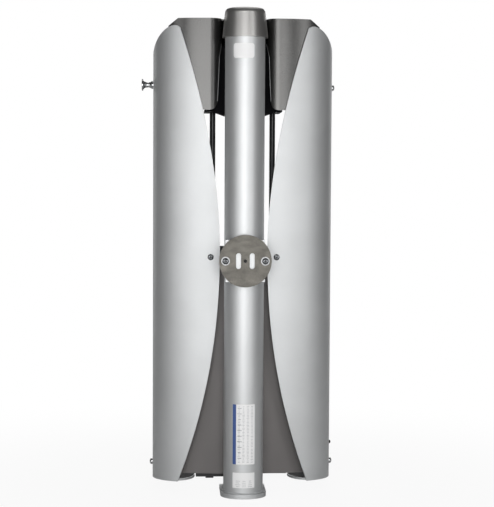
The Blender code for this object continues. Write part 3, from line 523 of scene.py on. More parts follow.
# %% Camera
EYE_DISTANCE, EYE_HEIGHT = 4.48, 1.006
AZIMUTH, PITCH, ROLL = math.radians(-3.0), math.radians(3.0), math.radians(0.30)
AIM_SIDE, AIM_UP = 0.0093, 0.0045
lens = bpy.data.cameras.new("camera")
lens.lens, lens.sensor_width = 99.75, 36.0
camera = working(lens, "camera")
eye = Vector((EYE_DISTANCE * math.sin(AZIMUTH), -EYE_DISTANCE * math.cos(AZIMUTH), EYE_HEIGHT))
aim = Vector((AIM_SIDE, 0, EYE_HEIGHT - EYE_DISTANCE * math.tan(PITCH) + AIM_UP))
look = (aim - eye).to_track_quat("-Z", "Y").to_matrix().to_4x4()
camera.matrix_world = Matrix.Translation(eye) @ look @ Matrix.Rotation(ROLL, 4, "Z")
bpy.context.scene.camera = camera
bpy.context.scene.view_settings.view_transform = "Standard"
print("camera at", [round(c, 3) for c in eye])

# %% [markdown]
# ## The column
# The column is a painted tube. The engineering model has 48 flat sides, which would show as facets
# in the highlight, so a skin with 160 sides takes its place. The two slots at the back let the
# pulleys reach the cable inside. A welded seam joins the tube to its foot plate.

# %% Column tube and foot plate
SLOT_HALF_W, SLOT_Y, SLOT_ROOM, LOW_SLOT = 0.0135, (0.03, 0.09), 0.0115, (0.040, 0.160)
LOW_AXLE_HOLE_R, FOOT_NOSE = 0.0063, 0.062
HEAD_LOW, HEAD_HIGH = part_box("head_pulley")
HEAD_Y, HEAD_Z = centre("head_pulley")[1:]
LOW_Y, LOW_Z = centre("low_pulley")[1:]


def slot_cut(low_z, high_z):
    return block((-SLOT_HALF_W, SLOT_Y[0], low_z), (SLOT_HALF_W, SLOT_Y[1], high_z))


tube = cylinder(COLUMN_R, (0, 0, COLUMN_LOW[2]), COLUMN_HIGH[2] - COLUMN_LOW[2], sides=160)
bore = cylinder(COLUMN_R - COLUMN_WALL, (0, 0, -0.1), 2.0, sides=96)
column = combine(tube, bore, slot_cut(HEAD_LOW[2] - SLOT_ROOM, HEAD_HIGH[2] + SLOT_ROOM),
                 slot_cut(*LOW_SLOT), cylinder(LOW_AXLE_HOLE_R, (-0.1, LOW_Y, LOW_Z), 0.2, "X", 24),
                 edge=0.0006, segments=1)
keep("column_skin", column, COLUMN_SILVER, "column_tube")

FOOT_LOW, FOOT_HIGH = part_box("column_foot_plate")
foot_edge = arc(0, FOOT_LOW[1] + FOOT_NOSE, FOOT_HIGH[0], FOOT_NOSE, 180, 360, 64)
foot_edge += [(FOOT_HIGH[0], FOOT_HIGH[1]), (FOOT_LOW[0], FOOT_HIGH[1])]
foot = combine(flat_outline(foot_edge, FOOT_LOW[2], FOOT_HIGH[2]), edge=0.0022)
keep("foot_plate", foot, COLUMN_SILVER, "column_foot_plate")

# %% A node tree for a weld seam
weld = Tree("weld_seam", Radius="Float", Beads="Int", Bead="Float", Height="Float",
            Material="Material")
ring = weld.node("GeometryNodeCurvePrimitiveCircle",
                 {"Resolution": 96, "Radius": weld.given["Radius"]})[0]
spots = weld.node("GeometryNodeCurveToPoints", {"Curve": ring, "Count": weld.given["Beads"]},
                  mode="COUNT")
bead = weld.node("GeometryNodeMeshIcoSphere", {"Radius": weld.given["Bead"], "Subdivisions": 2})[0]
beads = weld.copies(spots["Points"], bead, Scale=weld.random(0.85, 1.15, 4))
lift = weld.xyz(Z=weld.given["Height"])
weld.finish(weld.node("GeometryNodeTransform", {"Geometry": beads, "Translation": lift})[0])
seam = grown(weld, Radius=COLUMN_R + 0.0004, Beads=150, Bead=0.0021, Height=FOOT_HIGH[2] + 0.0006,
             Material=COLUMN_SILVER)
keep("foot_weld", seam, COLUMN_SILVER)

# %% [markdown]
# ## The side shells
# Each shell is one thin sheet bent along a superellipse and trimmed to a leaf: closest to the
# column at mid-height, swept away above and below. A grid follows that rule exactly. Rows climb in
# height, and each row starts at the leaf's edge and runs round to the back. Above the shoulder the
# sheet splits into a front tip and a back tip. A second grid 3 mm further in makes the inside, and
# the rims of the two grids are joined.

# %% The rule for one point of a shell
FLAT_STEP = 0.06  # how far a plan parameter of 1 reaches along the flat front


def leaf_edge(z):
    """Half-width of the gap between the leaves at height z, rounded over at the tip."""
    corner = TIP_Z - TIP_ROUND
    factor, power = LEAF_UPPER if z > WAIST_Z else LEAF_LOWER
    x = WAIST_X + factor * abs(min(z, corner) - WAIST_Z) ** power
    if z > corner:
        x = TIP_X - (TIP_X - x) * math.sqrt(max(0.0, 1 - ((z - corner) / TIP_ROUND) ** 2))
    return x


def shoulder_edge(z):
    """Half-width of the shoulder curve at height z."""
    rise = min((z - SHOULDER_Z) / (TIP_Z - SHOULDER_Z), 1)
    return TIP_X + (SHELL_HALF_W - TIP_X) * (1 - rise ** SHOULDER_POWER) ** (1 / SHOULDER_POWER)


def plan_point(p, inset=0.0):
    """The plan curve: p below 0 is the flat front, 0 to 1 the front curve, 1 to 2 the back."""
    if p < 0:
        return SHELL_FLAT_X + p * FLAT_STEP, SHELL_FRONT_Y + inset
    turn = math.radians(90 * p)
    if p <= 1:
        a, b = SHELL_HALF_W - SHELL_FLAT_X - inset, SHELL_WIDEST_Y - SHELL_FRONT_Y - inset
        return (SHELL_FLAT_X + a * max(math.sin(turn), 0) ** (2 / PLAN_POWER),
                SHELL_WIDEST_Y - b * max(math.cos(turn), 0) ** (2 / PLAN_POWER))
    a, b = SHELL_HALF_W - SHELL_BACK_X - inset, SHELL_BACK_Y - SHELL_WIDEST_Y - inset
    turn -= math.pi / 2
    return (SHELL_BACK_X + a * max(math.cos(turn), 0) ** (2 / BACK_POWER),
            SHELL_WIDEST_Y + b * max(math.sin(turn), 0) ** (2 / BACK_POWER))


def plan_at(x, back=False):
    """The plan parameter where the curve has this half-width."""
    if back:
        share = min(max((x - SHELL_BACK_X) / (SHELL_HALF_W - SHELL_BACK_X), 0), 1)
        return 1 + math.degrees(math.acos(share ** (BACK_POWER / 2))) / 90
    if x < SHELL_FLAT_X:
        return (x - SHELL_FLAT_X) / FLAT_STEP
    share = min((x - SHELL_FLAT_X) / (SHELL_HALF_W - SHELL_FLAT_X), 1)
    return math.degrees(math.asin(share ** (PLAN_POWER / 2))) / 90


def plan_run(inset, front_steps, back_steps):
    """The front curve and the back curve as two lists of points."""
    return ([plan_point(i / front_steps, inset) for i in range(front_steps + 1)],
            [plan_point(1 + i / back_steps, inset) for i in range(1, back_steps + 1)])


# %% Fill the sheet with grids, outside and inside, and close its edges
def sheet_patch(bm, heights, start, end, steps):
    """A doubled grid between two edges, each given as a plan parameter at height z."""
    sides = []
    for inset in (0.0, SHELL_T):
        rows = []
        for z in heights:
            a, b = start(z), end(z)
            points = [plan_point(a + (b - a) * i / steps, inset) for i in range(steps + 1)]
            rows.append([bm.verts.new((x, y, z)) for x, y in points])
        for low, high in zip(rows, rows[1:]):
            for i in range(steps):
                corners = (low[i], low[i + 1], high[i + 1], high[i])
                bm.faces.new(corners if inset == 0 else tuple(reversed(corners)))
        sides.append(rows)
    return sides


def join_rims(bm, sides, first=False, last=False, low=False, high=False):
    """Close the gap between the two grids along the chosen rims."""
    outer, inner = sides
    rims = []
    if first:
        rims.append(([r[0] for r in outer], [r[0] for r in inner]))
    if last:
        rims.append(([r[-1] for r in outer], [r[-1] for r in inner]))
    if low:
        rims.append((outer[0], inner[0]))
    if high:
        rims.append((outer[-1], inner[-1]))
    for a, b in rims:
        for i in range(len(a) - 1):
            bm.faces.new((a[i], a[i + 1], b[i + 1], b[i]))


def shell_mesh():
    bm = bmesh.new()
    rows, tip_rows, front_steps, back_steps = 110, 30, 44, 26
    climb = [SHELL_BOTTOM + (SHOULDER_Z - SHELL_BOTTOM) * i / rows for i in range(rows + 1)]
    ease = [math.sin(math.pi / 2 * i / tip_rows) for i in range(tip_rows + 1)]
    tips = [SHOULDER_Z + (TIP_Z - SHOULDER_Z) * e for e in ease]
    leaf, shoulder = lambda z: plan_at(leaf_edge(z)), lambda z: plan_at(shoulder_edge(z))
    shoulder_back = lambda z: plan_at(shoulder_edge(z), True)
    widest, back = lambda z: 1, lambda z: 2
    join_rims(bm, sheet_patch(bm, climb, leaf, widest, front_steps), first=True, low=True)
    join_rims(bm, sheet_patch(bm, climb, widest, back, back_steps), last=True, low=True)
    join_rims(bm, sheet_patch(bm, tips, leaf, shoulder, front_steps), first=True, last=True)
    join_rims(bm, sheet_patch(bm, tips, shoulder_back, back, back_steps), first=True, last=True,
              high=True)
    bmesh.ops.remove_doubles(bm, verts=bm.verts, dist=3e-5)
    bmesh.ops.dissolve_degenerate(bm, edges=bm.edges, dist=2e-5)
    bmesh.ops.recalc_face_normals(bm, faces=bm.faces)
    return combine(as_mesh(bm), edge=0.0009, segments=2, angle=55)


right_shell = shell_mesh()
left_shell = mirror_mesh(right_shell)
keep("shell_left_skin", left_shell, SILVER_AND_LIT_EDGE, "shell_left", smooth=40)
keep("shell_right_skin", right_shell, SILVER_AND_LIT_EDGE, "shell_right", smooth=40)

# %% [markdown]
# ## The head cover
# The cover is a moulding. In plan it rolls back on both sides of the column and then follows the
# shells; from the front it has a flat top and rounded shoulders. Both outlines are pushed through
# each other and the common part is kept. The same form made 4 mm smaller is taken out of the
# middle, then the arch for the column, and room for the round cap, which is a piece of its own.
# A bevel rounds every edge as a mould would. The inside is lined near-black as painted shade,
# and a thin bright strip along the arch is a painted highlight on its edge.

# %% Outlines of the cover
COVER_INSET, COVER_T, COVER_SLOPE = 0.0055, 0.004, math.radians(8.6)
ARCH = ((0.0860, 1.262), (0.0825, 1.340), (0.0800, 1.405), (0.0700, CAP_BOTTOM))
ROLL_X, ROLL_Y = 0.112, 0.066
ROLL_R = (0.040, ROLL_Y - SHELL_FRONT_Y - COVER_INSET)
SLOPE_LOW, SLOPE_TOP_X = (0.2432, 1.5015), 0.2125
SHOULDER_DROP, SLOPE_INSET = 0.004, 0.4


def cover_plan(inset):
    roll = arc(ROLL_X, ROLL_Y, -(ROLL_R[0] - inset), -(ROLL_R[1] - inset), 0, 90, 16)
    side, back = plan_run(COVER_INSET + inset, 40, 20)
    right = [(0, ROLL_Y)] + roll + [p for p in side if p[0] > ROLL_X + 0.003] + back
    return right + mirrored(reversed(right))[:-1]


def cover_front(inset):
    half = SHELL_HALF_W - COVER_INSET - inset
    reach, bend = half - TIP_X, 2 / SHOULDER_POWER
    rise = TIP_Z - SHOULDER_Z - SHOULDER_DROP - inset
    turns = [math.radians(70 * i / 24) for i in range(25)]
    shoulder = [(TIP_X + reach * math.cos(t) ** bend, SHOULDER_Z + rise * math.sin(t) ** bend)
                for t in turns]
    slope = [(SLOPE_LOW[0] - inset * SLOPE_INSET, SLOPE_LOW[1] - inset),
             (SLOPE_TOP_X - inset * SLOPE_INSET, COVER_TOP - inset)]
    right = [(half, COVER_LOW[2] - inset)] + shoulder + slope
    return right + mirrored(reversed(right))


def cover_form(inset, base):
    body = flat_outline(cover_plan(inset), base, 1.60)
    return combine(body, common=flat_outline(cover_front(inset), -0.1, 0.5, "XZ"))


# %% Hollow it, cut the arch for the column, slope its lower edge and round the edges
FLARE, ARCH_LIP, BELOW, ARCH_DEPTH = 0.023, 0.0005, 0.02, 0.082
CAP_R, CAP_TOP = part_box("column_cap")[1][0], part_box("column_cap")[1][2]
CAP_SHOULDER, CAP_ROUND, CAP_GAP = (0.053, 1.533), 0.0125, 0.0006
low_x, low_z = ARCH[0]
arch = [(low_x + FLARE, COVER_LOW[2] - BELOW), (low_x + FLARE, COVER_LOW[2] + ARCH_LIP)]
arch += arc(low_x + FLARE, low_z, -FLARE, -(low_z - COVER_LOW[2] - ARCH_LIP), 90, 0, 12)
arch += ARCH[1:]
slant = block((-0.4, 0, -0.2), (0.4, 0.6, 0))
slant.transform(Matrix.Translation((0, 0.060, COVER_LOW[2]))
                @ Matrix.Rotation(COVER_SLOPE, 4, "X"))


def cap_side(grow=0.0):
    """The cap's outside: a tapered side and a rounded top edge."""
    x, z = CAP_SHOULDER
    corner = arc(x, z, CAP_ROUND + grow, CAP_TOP - z, 90, 0, 20)
    return [(0, CAP_TOP)] + corner + [(CAP_R + grow, CAP_BOTTOM)]


cap_room = lathe(cap_side(CAP_GAP) + [(0, CAP_BOTTOM)], steps=96)
hollow = cover_form(COVER_T, COVER_LOW[2] - BELOW)
hollow_faces = BVHTree.FromPolygons([v.co.copy() for v in hollow.vertices],
                                    [tuple(f.vertices) for f in hollow.polygons])
arch_cut = flat_outline(arch + mirrored(reversed(arch)), -0.1, ARCH_DEPTH, "XZ")
cover = combine(cover_form(0, COVER_LOW[2]), hollow, arch_cut, cap_room, slant,
                edge=0.0016, segments=3, angle=32)
cover_skin = keep("head_cover_skin", cover, CHARCOAL, "head_cover", smooth=38)
# The inside faces get the near-black material: painted shade inside the cover.
cover_skin.data.materials.append(SHADE_BLACK)
lined = 0
for face in cover_skin.data.polygons:
    if hollow_faces.find_nearest(face.center)[3] < 0.0005:
        face.material_index, lined = 1, lined + 1
print("cover faces on the inside:", lined)

# %% A thin bright strip along the arch's edges: a painted highlight where the edge catches light
ARCH_GLINT_R = 0.0010
arch_glint_path = []
for (x0, z0), (x1, z1) in zip(ARCH, ARCH[1:]):
    for i in range(12):
        x, z = x0 + (x1 - x0) * i / 12, z0 + (z1 - z0) * i / 12
        if x > ROLL_X - ROLL_R[0]:
            y = ROLL_Y - ROLL_R[1] * math.sin(math.acos((ROLL_X - x) / ROLL_R[0]))
            arch_glint_path.append((x - ARCH_GLINT_R * 0.4, y - ARCH_GLINT_R * 0.4, z))
arch_glint = bar_along(arch_glint_path, ARCH_GLINT_R, 3)
keep("arch_bead", joined(arch_glint, mirror_mesh(arch_glint)), ZINC_AND_GLINT)

# %% The cap on the column's end
seat = COLUMN_HIGH[2] + FIT
under = [(COLUMN_R + FIT, CAP_BOTTOM), (COLUMN_R + FIT, seat), (0.058, seat),
         (0.054, CAP_TOP - COVER_T), (0, CAP_TOP - COVER_T)]
cap = combine(lathe(cap_side() + under, steps=144), edge=0.0010, segments=2, angle=50)
# The cap gets the brightened copy of the charcoal: painted light.
keep("cap_skin", cap, CHARCOAL_CAP_LIT, "column_cap", smooth=38)

# %% [markdown]
# ## The medallion
# A thick steel disc bolted in front of the column. Two plain round-ended windows are cut through
# it, so that the pale bracket shows behind, and a black plug fills the hole at its centre.
# The disc's speckle comes from its material; the bright line on its round edge is a painted
# highlight: a thin ring set on the edge.

# %% Disc, its plug and a painted highlight on its round edge
DISC_LOW, DISC_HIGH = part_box("medallion_disc")
DISC_R, DISC_Z = DISC_HIGH[0], centre("medallion_disc")[2]
DISC_FACE, DISC_BACK = DISC_LOW[1], DISC_HIGH[1]
BOLT_X, BOLT_HOLE_R, CENTRE_R = centre("disc_bolt_right")[0], 0.0053, 0.0055
WINDOW_X, WINDOW_HALF_W, WINDOW_HALF_H = 0.0215, 0.0080, 0.0250


def window(cx):
    """An upright slot with round ends, seen from the front."""
    reach = WINDOW_HALF_H - WINDOW_HALF_W
    ends = arc(cx, DISC_Z + reach, WINDOW_HALF_W, WINDOW_HALF_W, 0, 180, 20)
    ends += arc(cx, DISC_Z - reach, WINDOW_HALF_W, WINDOW_HALF_W, 180, 360, 20)
    return flat_outline(ends, DISC_FACE - 0.01, DISC_BACK + 0.0004, "XZ")


def bolt_holes():
    return [cylinder(BOLT_HOLE_R, (x, -0.12, DISC_Z), 0.08, "Y", 32) for x in (-BOLT_X, BOLT_X)]


disc = combine(cylinder(DISC_R, (0, DISC_FACE, DISC_Z), DISC_BACK - DISC_FACE, "Y", 160),
               cylinder(CENTRE_R, (0, -0.1, DISC_Z), 0.1, "Y", 40),
               window(-WINDOW_X), window(WINDOW_X), *bolt_holes(), edge=0.0008, segments=2)
keep("medallion_face", disc, DISC, "medallion_disc")
plug = cylinder(CENTRE_R - 0.0002, (0, DISC_BACK - 0.0030, DISC_Z), 0.0028, "Y", 32)
keep("centre_plug", combine(plug, edge=0.0006, segments=2), RUBBER)
# A thin bright ring on the round edge: painted highlight where the chamfer catches light.
rim_glint_form = ((0.0001, 0.0011), (0.0009, 0.0001), (0.0013, 0.0004), (0.0006, 0.0016))
rim_glint = lathe([(DISC_R - r, h) for r, h in rim_glint_form], (0, DISC_FACE, DISC_Z), "Y", 160, closed=True)
keep("medallion_rim", rim_glint, ZINC_AND_GLINT)

# %% The bracket behind the disc
SADDLE_LOW, SADDLE_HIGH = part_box("disc_saddle")
SADDLE_HALF, SADDLE_INSIDE, SADDLE_BACK, EAR_HALF_H = 0.062, 0.058, -0.018, 0.02
front_inside = SADDLE_LOW[1] + 0.004
saddle = combine(block((-SADDLE_HALF, SADDLE_LOW[1], SADDLE_LOW[2]),
                       (SADDLE_HALF, SADDLE_BACK, SADDLE_HIGH[2])),
                 block((-SADDLE_INSIDE, front_inside, 0.5), (SADDLE_INSIDE, 0.1, 1.0)),
                 cylinder(COLUMN_R + FIT, (0, 0, 0.5), 0.5, sides=128), *bolt_holes(),
                 add=block((SADDLE_LOW[0], SADDLE_LOW[1], DISC_Z - EAR_HALF_H),
                           (SADDLE_HIGH[0], front_inside, DISC_Z + EAR_HALF_H)),
                 edge=0.0010, segments=2)
keep("saddle_bracket", saddle, COLUMN_SILVER, "disc_saddle")

# %% [markdown]
# ## Fasteners
# Screws repeat, so one node tree sets them all. Each kind of head is turned once from its section,
# and the tree puts a copy on every place it is given. Each place carries the direction its screw
# points in, as an attribute.

# %% A node tree that sets a part on many places
setter = Tree("set_on_places", Part="Object", Material="Material")
part_mesh = setter.node("GeometryNodeObjectInfo", {"Object": setter.given["Part"]},
                        transform_space="ORIGINAL")["Geometry"]
facing = setter.node("GeometryNodeInputNamedAttribute", {"Name": "facing"},
                     data_type="FLOAT_VECTOR")[0]
turned = setter.node("FunctionNodeAlignRotationToVector", {"Vector": facing}, axis="Z")[0]
setter.finish(setter.copies(setter.given["Geometry"], part_mesh, Rotation=turned))


def set_on(name, part, places, material, *nodes, smooth=35):
    """places is a list of (point, direction)."""
    mesh = bpy.data.meshes.new("places")
    mesh.from_pydata([p for p, _ in places], [], [])
    attribute = mesh.attributes.new("facing", "FLOAT_VECTOR", "POINT")
    for item, (_, direction) in zip(attribute.data, places):
        item.vector = direction
    pattern = working(part, "pattern")
    made = grown(setter, mesh, Part=pattern, Material=material)
    bpy.data.objects.remove(pattern, do_unlink=True)
    keep(name, made, material, *nodes, smooth=smooth)


# %% Domed screws and a plug on the shells' sides
def button_head(radius, height, socket):
    """A domed button head with a hexagon socket; z = 0 is the face it sits on."""
    dome = arc(0, height * 0.30, radius, height * 0.70, 78, 0, 10)
    head = lathe([(0, height)] + dome + [(radius, 0), (0, 0)], steps=48)
    hexagon = cylinder(socket, (0, 0, height * 0.35), height, sides=6)
    return combine(head, hexagon, edge=0.0003, segments=2, angle=50)


def side_places(*nodes):
    """Where parts sit on the shells' sides, and which way they face."""
    places = []
    for x, y, z in map(centre, nodes):
        sign = 1 if x > 0 else -1
        places.append(((sign * (SHELL_HALF_W + FIT), y, z), (sign, 0, 0)))
    return places


domes = ("lower_screw_left", "lower_screw_right", "upper_screw_right")
set_on("side_screws", button_head(0.0100, 0.0095, 0.0035), side_places(*domes), CHROME, *domes)
plug = lathe([(0, 0.006)] + arc(0, 0.001, 0.006, 0.005, 80, 0, 8) + [(0.006, 0), (0, 0)], steps=32)
set_on("side_plug", plug, side_places("side_plug_right"), RUBBER, "side_plug_right")

# %% Front screws, washers and bolts
WASHER_T, WASHER_BORE_R, SOCKET_DEPTH = 0.0022, 0.0055, 0.0017
WASHER_R = (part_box("disc_washer_right")[1][0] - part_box("disc_washer_right")[0][0]) / 2
MID_X, _, MID_Z = centre("mid_screw_right")


def front_places(x, y, z):
    return [((sign * x, y, z), (0, -1, 0)) for sign in (-1, 1)]


mid_places = front_places(MID_X, SHELL_FRONT_Y - FIT, MID_Z)
bolt_places = front_places(BOLT_X, DISC_FACE - 2 * FIT - WASHER_T, DISC_Z)
set_on("shell_screws", button_head(0.0098, 0.0048, 0.0040), mid_places, DARK_ZINC,
       "mid_screw_left", "mid_screw_right")
washer = lathe([(WASHER_R, WASHER_T), (WASHER_R, 0), (WASHER_BORE_R, 0),
                (WASHER_BORE_R, WASHER_T)], closed=True)
set_on("disc_washers", combine(washer, edge=0.0004, segments=2),
       front_places(BOLT_X, DISC_FACE - FIT, DISC_Z), ZINC_AND_GLINT, "disc_washer_left", "disc_washer_right")
set_on("disc_bolts", button_head(0.0102, 0.0062, 0.0044), bolt_places, DARK_ZINC,
       "disc_bolt_left", "disc_bolt_right")
# A dark hexagon on each socket's floor: painted shade in the socket's hollow.
socket_places = [((x, y - SOCKET_DEPTH, z), d) for (x, y, z), d in bolt_places + mid_places]
set_on("hex_sockets", cylinder(0.0040, (0, 0, 0), 0.0012, sides=6), socket_places, DARK_PRINT_AND_SHADE)

# %% The spool-shaped hook on the left
REACH = -(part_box("accessory_hook")[0][0] + SHELL_HALF_W + FIT)
flare = arc(0.0200, 0.0170, 0.0117, 0.0150, 90, 270, 20)
spool = [(0, REACH), (0.0182, REACH), (0.0198, REACH - 0.0012), (0.0196, REACH - 0.0032)]
spool += [(r, h) for r, h in flare if h > 0.0040][1:]
spool += [(0.0126, 0.0032), (0.0130, 0.0020), (0.0130, 0), (0, 0)]
set_on("hook_spool", lathe(spool), side_places("accessory_hook"), CHROME, "accessory_hook",
       smooth=30)

# %% [markdown]
# ## The plates and what lifts them
# The stack is one plate, fourteen times. The plate is drilled and its edges rounded once, and a node
# tree sets copies of it up a line at the right pitch. It runs twice, because the plates above the
# selector pin ride with the head plate and the others stay down.

# %% One plate, drilled and rounded
PLATE_T, PLATE_CORNER = PLATE_HIGH[2] - PLATE_LOW[2], 0.010
ROD_HOLE_R, STEM_HOLE_R, PIN_HOLE_R = 0.0103, 0.0135, 0.0054
BODIES = frame["record"]["behaviour"]["bodies"]
LIFTED = sorted(n for n in BODIES["carriage"] if n.startswith("weight_plate"))
RESTING = sorted(n for n in BODIES["tower"] if n.startswith("weight_plate"))


def drilled_plate(thickness):
    flat = rounded_box(PLATE_HIGH[0], PLATE_HIGH[1] - STACK_Y, PLATE_CORNER)
    outline = [(x, y + STACK_Y) for x, y in flat]
    holes = [cylinder(radius, (x, STACK_Y, -0.1), 0.3, sides=28)
             for x, radius in ((-ROD_X, ROD_HOLE_R), (ROD_X, ROD_HOLE_R), (0, STEM_HOLE_R))]
    pin_hole = cylinder(PIN_HOLE_R, (0, STACK_Y, thickness / 2), 0.1, "Y", 20)
    return combine(flat_outline(outline, 0, thickness), *holes, pin_hole, edge=0.0013, segments=2)


stack = Tree("plate_stack", Count="Int", Pitch="Float", Bottom="Float", Material="Material")
line = stack.node("GeometryNodeMeshLine", {
    "Count": stack.given["Count"], "Start Location": stack.xyz(Z=stack.given["Bottom"]),
    "Offset": stack.xyz(Z=stack.given["Pitch"])})[0]
stack.finish(stack.copies(line, stack.given["Geometry"]))
print("plates lifted:", len(LIFTED), "resting:", len(RESTING))

# %% Set the resting and the lifted plates, and the head plate
PITCH_Z = PLATE_LOW[2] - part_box("weight_plate_02")[0][2]
HEAD_PLATE_LOW, HEAD_PLATE_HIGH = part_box("head_plate")


def plate_pile(name, nodes, body, thickness=PLATE_T, pitch=PITCH_Z):
    bottom = min(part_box(n)[0][2] for n in nodes)
    mesh = grown(stack, drilled_plate(thickness), Count=len(nodes), Pitch=pitch, Bottom=bottom,
                 Material=PLATE)
    keep(name, mesh, PLATE, *nodes, body=body, smooth=30)


plate_pile("resting_plates", RESTING, "tower")
plate_pile("lifted_plates", LIFTED, "carriage")
plate_pile("head_plate_block", ["head_plate"], "carriage",
           thickness=HEAD_PLATE_HIGH[2] - HEAD_PLATE_LOW[2], pitch=0.0)

# %% Plain numbers on the plates
LABEL_X, LABEL_W, LABEL_H, NUMBER_H = -0.105, 0.046, 0.018, 0.015
LABEL_BACK, LABEL_FACE, NUMBER_FACE = 0.0001, 0.0006, 0.0008
UPRIGHT_BACK = Matrix.Rotation(math.pi, 4, "Z") @ Matrix.Rotation(math.pi / 2, 4, "X")


def plate_label(node, number):
    """A pale strip with a plain number, on the side the user sees."""
    middle, back = centre(node)[2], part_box(node)[1][1]
    strip = block((LABEL_X - LABEL_W / 2, back + LABEL_BACK, middle - LABEL_H / 2),
                  (LABEL_X + LABEL_W / 2, back + LABEL_FACE, middle + LABEL_H / 2))
    text = bpy.data.curves.new("number", "FONT")
    text.body, text.size, text.extrude = str(number), NUMBER_H, 0.0001
    text.align_x = text.align_y = "CENTER"
    digits = working(text)
    digits.matrix_world = Matrix.Translation((LABEL_X, back + NUMBER_FACE, middle)) @ UPRIGHT_BACK
    return strip, plain(digits)


for body, nodes, tag in (("tower", RESTING, "resting"), ("carriage", LIFTED, "lifted")):
    strips, numbers = zip(*[plate_label(node, 10 * int(node[-2:])) for node in nodes])
    keep(tag + "_labels", joined(*strips), VINYL, body=body, smooth=0)
    keep(tag + "_numbers", joined(*numbers), DARK_PRINT_AND_SHADE, body=body, smooth=0)

# %% Selector stem
STEM_LOW, STEM_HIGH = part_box("selector_stem")
top, foot_z, collar = STEM_HIGH[2], STEM_LOW[2], HEAD_PLATE_HIGH[2] + FIT
stem_form = [(0, top), (0.0068, top), (0.0085, top - 0.0015), (0.0085, collar + 0.022),
             (0.0135, collar + 0.022), (0.0140, collar + 0.0215), (0.0140, collar + 0.0105),
             (0.0192, collar + 0.0100), (0.0200, collar + 0.0090), (0.0200, collar),
             (0.0125, collar), (0.0125, foot_z + 0.003), (0.0095, foot_z), (0, foot_z)]
stem_holes = joined(*[cylinder(PIN_HOLE_R, (0, STACK_Y - 0.03, centre(n)[2]), 0.06, "Y", 20)
                      for n in RESTING + LIFTED])
stem = combine(lathe(stem_form, (0, STACK_Y, 0), steps=48), stem_holes)
keep("stem_rod", stem, CHROME, "selector_stem", body="carriage")

# %% Selector pin
PIN_LOW, PIN_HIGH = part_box("selector_pin")
PIN_Z, PIN_FACE = centre("selector_pin")[2], PLATE_HIGH[1]
knob_end, tip = PIN_HIGH[1] - PIN_FACE, -(PIN_FACE - PIN_LOW[1])
knob = [(0, knob_end)] + arc(0, knob_end - 0.017, 0.0165, 0.017, 88, -40, 20)
knob += [(0.0100, 0.0060), (0.0100, 0.0030), (0, 0.0030)]
shank = [(0, 0.004), (0.0047, 0.004), (0.0047, tip + 0.002), (0.003, tip), (0, tip)]
keep("pin_knob", lathe(knob, (0, PIN_FACE, PIN_Z), "Y", 48), NYLON, "selector_pin", body="pin")
keep("pin_shank", lathe(shank, (0, PIN_FACE, PIN_Z), "Y", 32), CHROME, body="pin")

# %% Guide rods and their rubber bumpers
BUMPER_BORE_R, BUMPER_R, BUMPER_BULGE = 0.0103, 0.019, 0.005
for side, sign in (("left", -1), ("right", 1)):
    low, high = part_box("guide_rod_" + side)
    rod = cylinder(ROD_R, (sign * ROD_X, STACK_Y, low[2]), high[2] - low[2])
    keep("rod_" + side, combine(rod, edge=0.0012), GLOSS_BLACK, "guide_rod_" + side)
    low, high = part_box("stack_bumper_" + side)
    h = high[2] - low[2]
    tyre = [(BUMPER_BORE_R, h), (BUMPER_R, h)]
    tyre += arc(BUMPER_R, h / 2, BUMPER_BULGE, h / 2 - 0.001, 90, -90, 14)
    tyre += [(BUMPER_R, 0), (BUMPER_BORE_R, 0)]
    tyre = lathe(tyre, (sign * ROD_X, STACK_Y, low[2]), "Z", 48, closed=True)
    keep("bumper_" + side, tyre, RUBBER, "stack_bumper_" + side)

# %% [markdown]
# ## Pulleys and cable
# A pulley is a turned wheel with lightening holes set round it. The cable is one smooth tube on the
# same path as the model's: up from the stem, over the head pulley, down inside the column, round the
# low pulley and out at the back. On the machine the rising run shortens as the plates go up; here it
# is a fixed piece with a mesh of its own.

# %% Grooved wheels with lightening holes
CABLE_R, GROOVE_DEPTH, WEB_DROP = 0.003, 0.006, 0.004


def wheel(node, bore, holes, name):
    low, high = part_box(node)
    x, y, z = centre(node)
    rim_r, t = (high[2] - low[2]) / 2, (high[0] - low[0]) / 2
    floor_r = rim_r - GROOVE_DEPTH - CABLE_R - 0.0008
    hub_r, web_r = bore + 0.011, floor_r - 0.007
    upper = [(bore, t), (bore + 0.009, t), (hub_r, t - WEB_DROP), (web_r, t - WEB_DROP),
             (floor_r - 0.005, t - 0.0005), (rim_r - 0.001, t - 0.0018), (rim_r, t - 0.0026),
             (floor_r + 0.001, 0.0046), (floor_r, 0.0036)]
    form = lathe(upper + [(r, -h) for r, h in reversed(upper)], (x, y, z), "X", 96, closed=True)
    mid = (hub_r + web_r) / 2
    cuts = []
    for i in range(holes):
        turn = 2 * math.pi * i / holes
        start = (x - 0.03, y + mid * math.cos(turn), z + mid * math.sin(turn))
        cuts.append(cylinder((floor_r - bore) * 0.19, start, 0.06, "X", 24))
    mesh = combine(form, joined(*cuts), edge=0.0006, segments=2)
    keep(name, mesh, NYLON, node, body=node + "_wheel", smooth=30)


wheel("head_pulley", 0.0084, 6, "head_wheel")
wheel("low_pulley", 0.0064, 5, "low_wheel")

# %% The cable's two stretches
RUN_LOW, RUN_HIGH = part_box("cable_lift_run")
RUN_LENGTH = RUN_HIGH[2] - RUN_LOW[2]
run_points = [(0, STACK_Y, RUN_LOW[2] + RUN_LENGTH * i / 40) for i in range(41)]
run = keep("cable_rising", bar_along(run_points, CABLE_R), NYLON, "cable_lift_run",
           slot="cable_coat", smooth=60)
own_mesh(run)

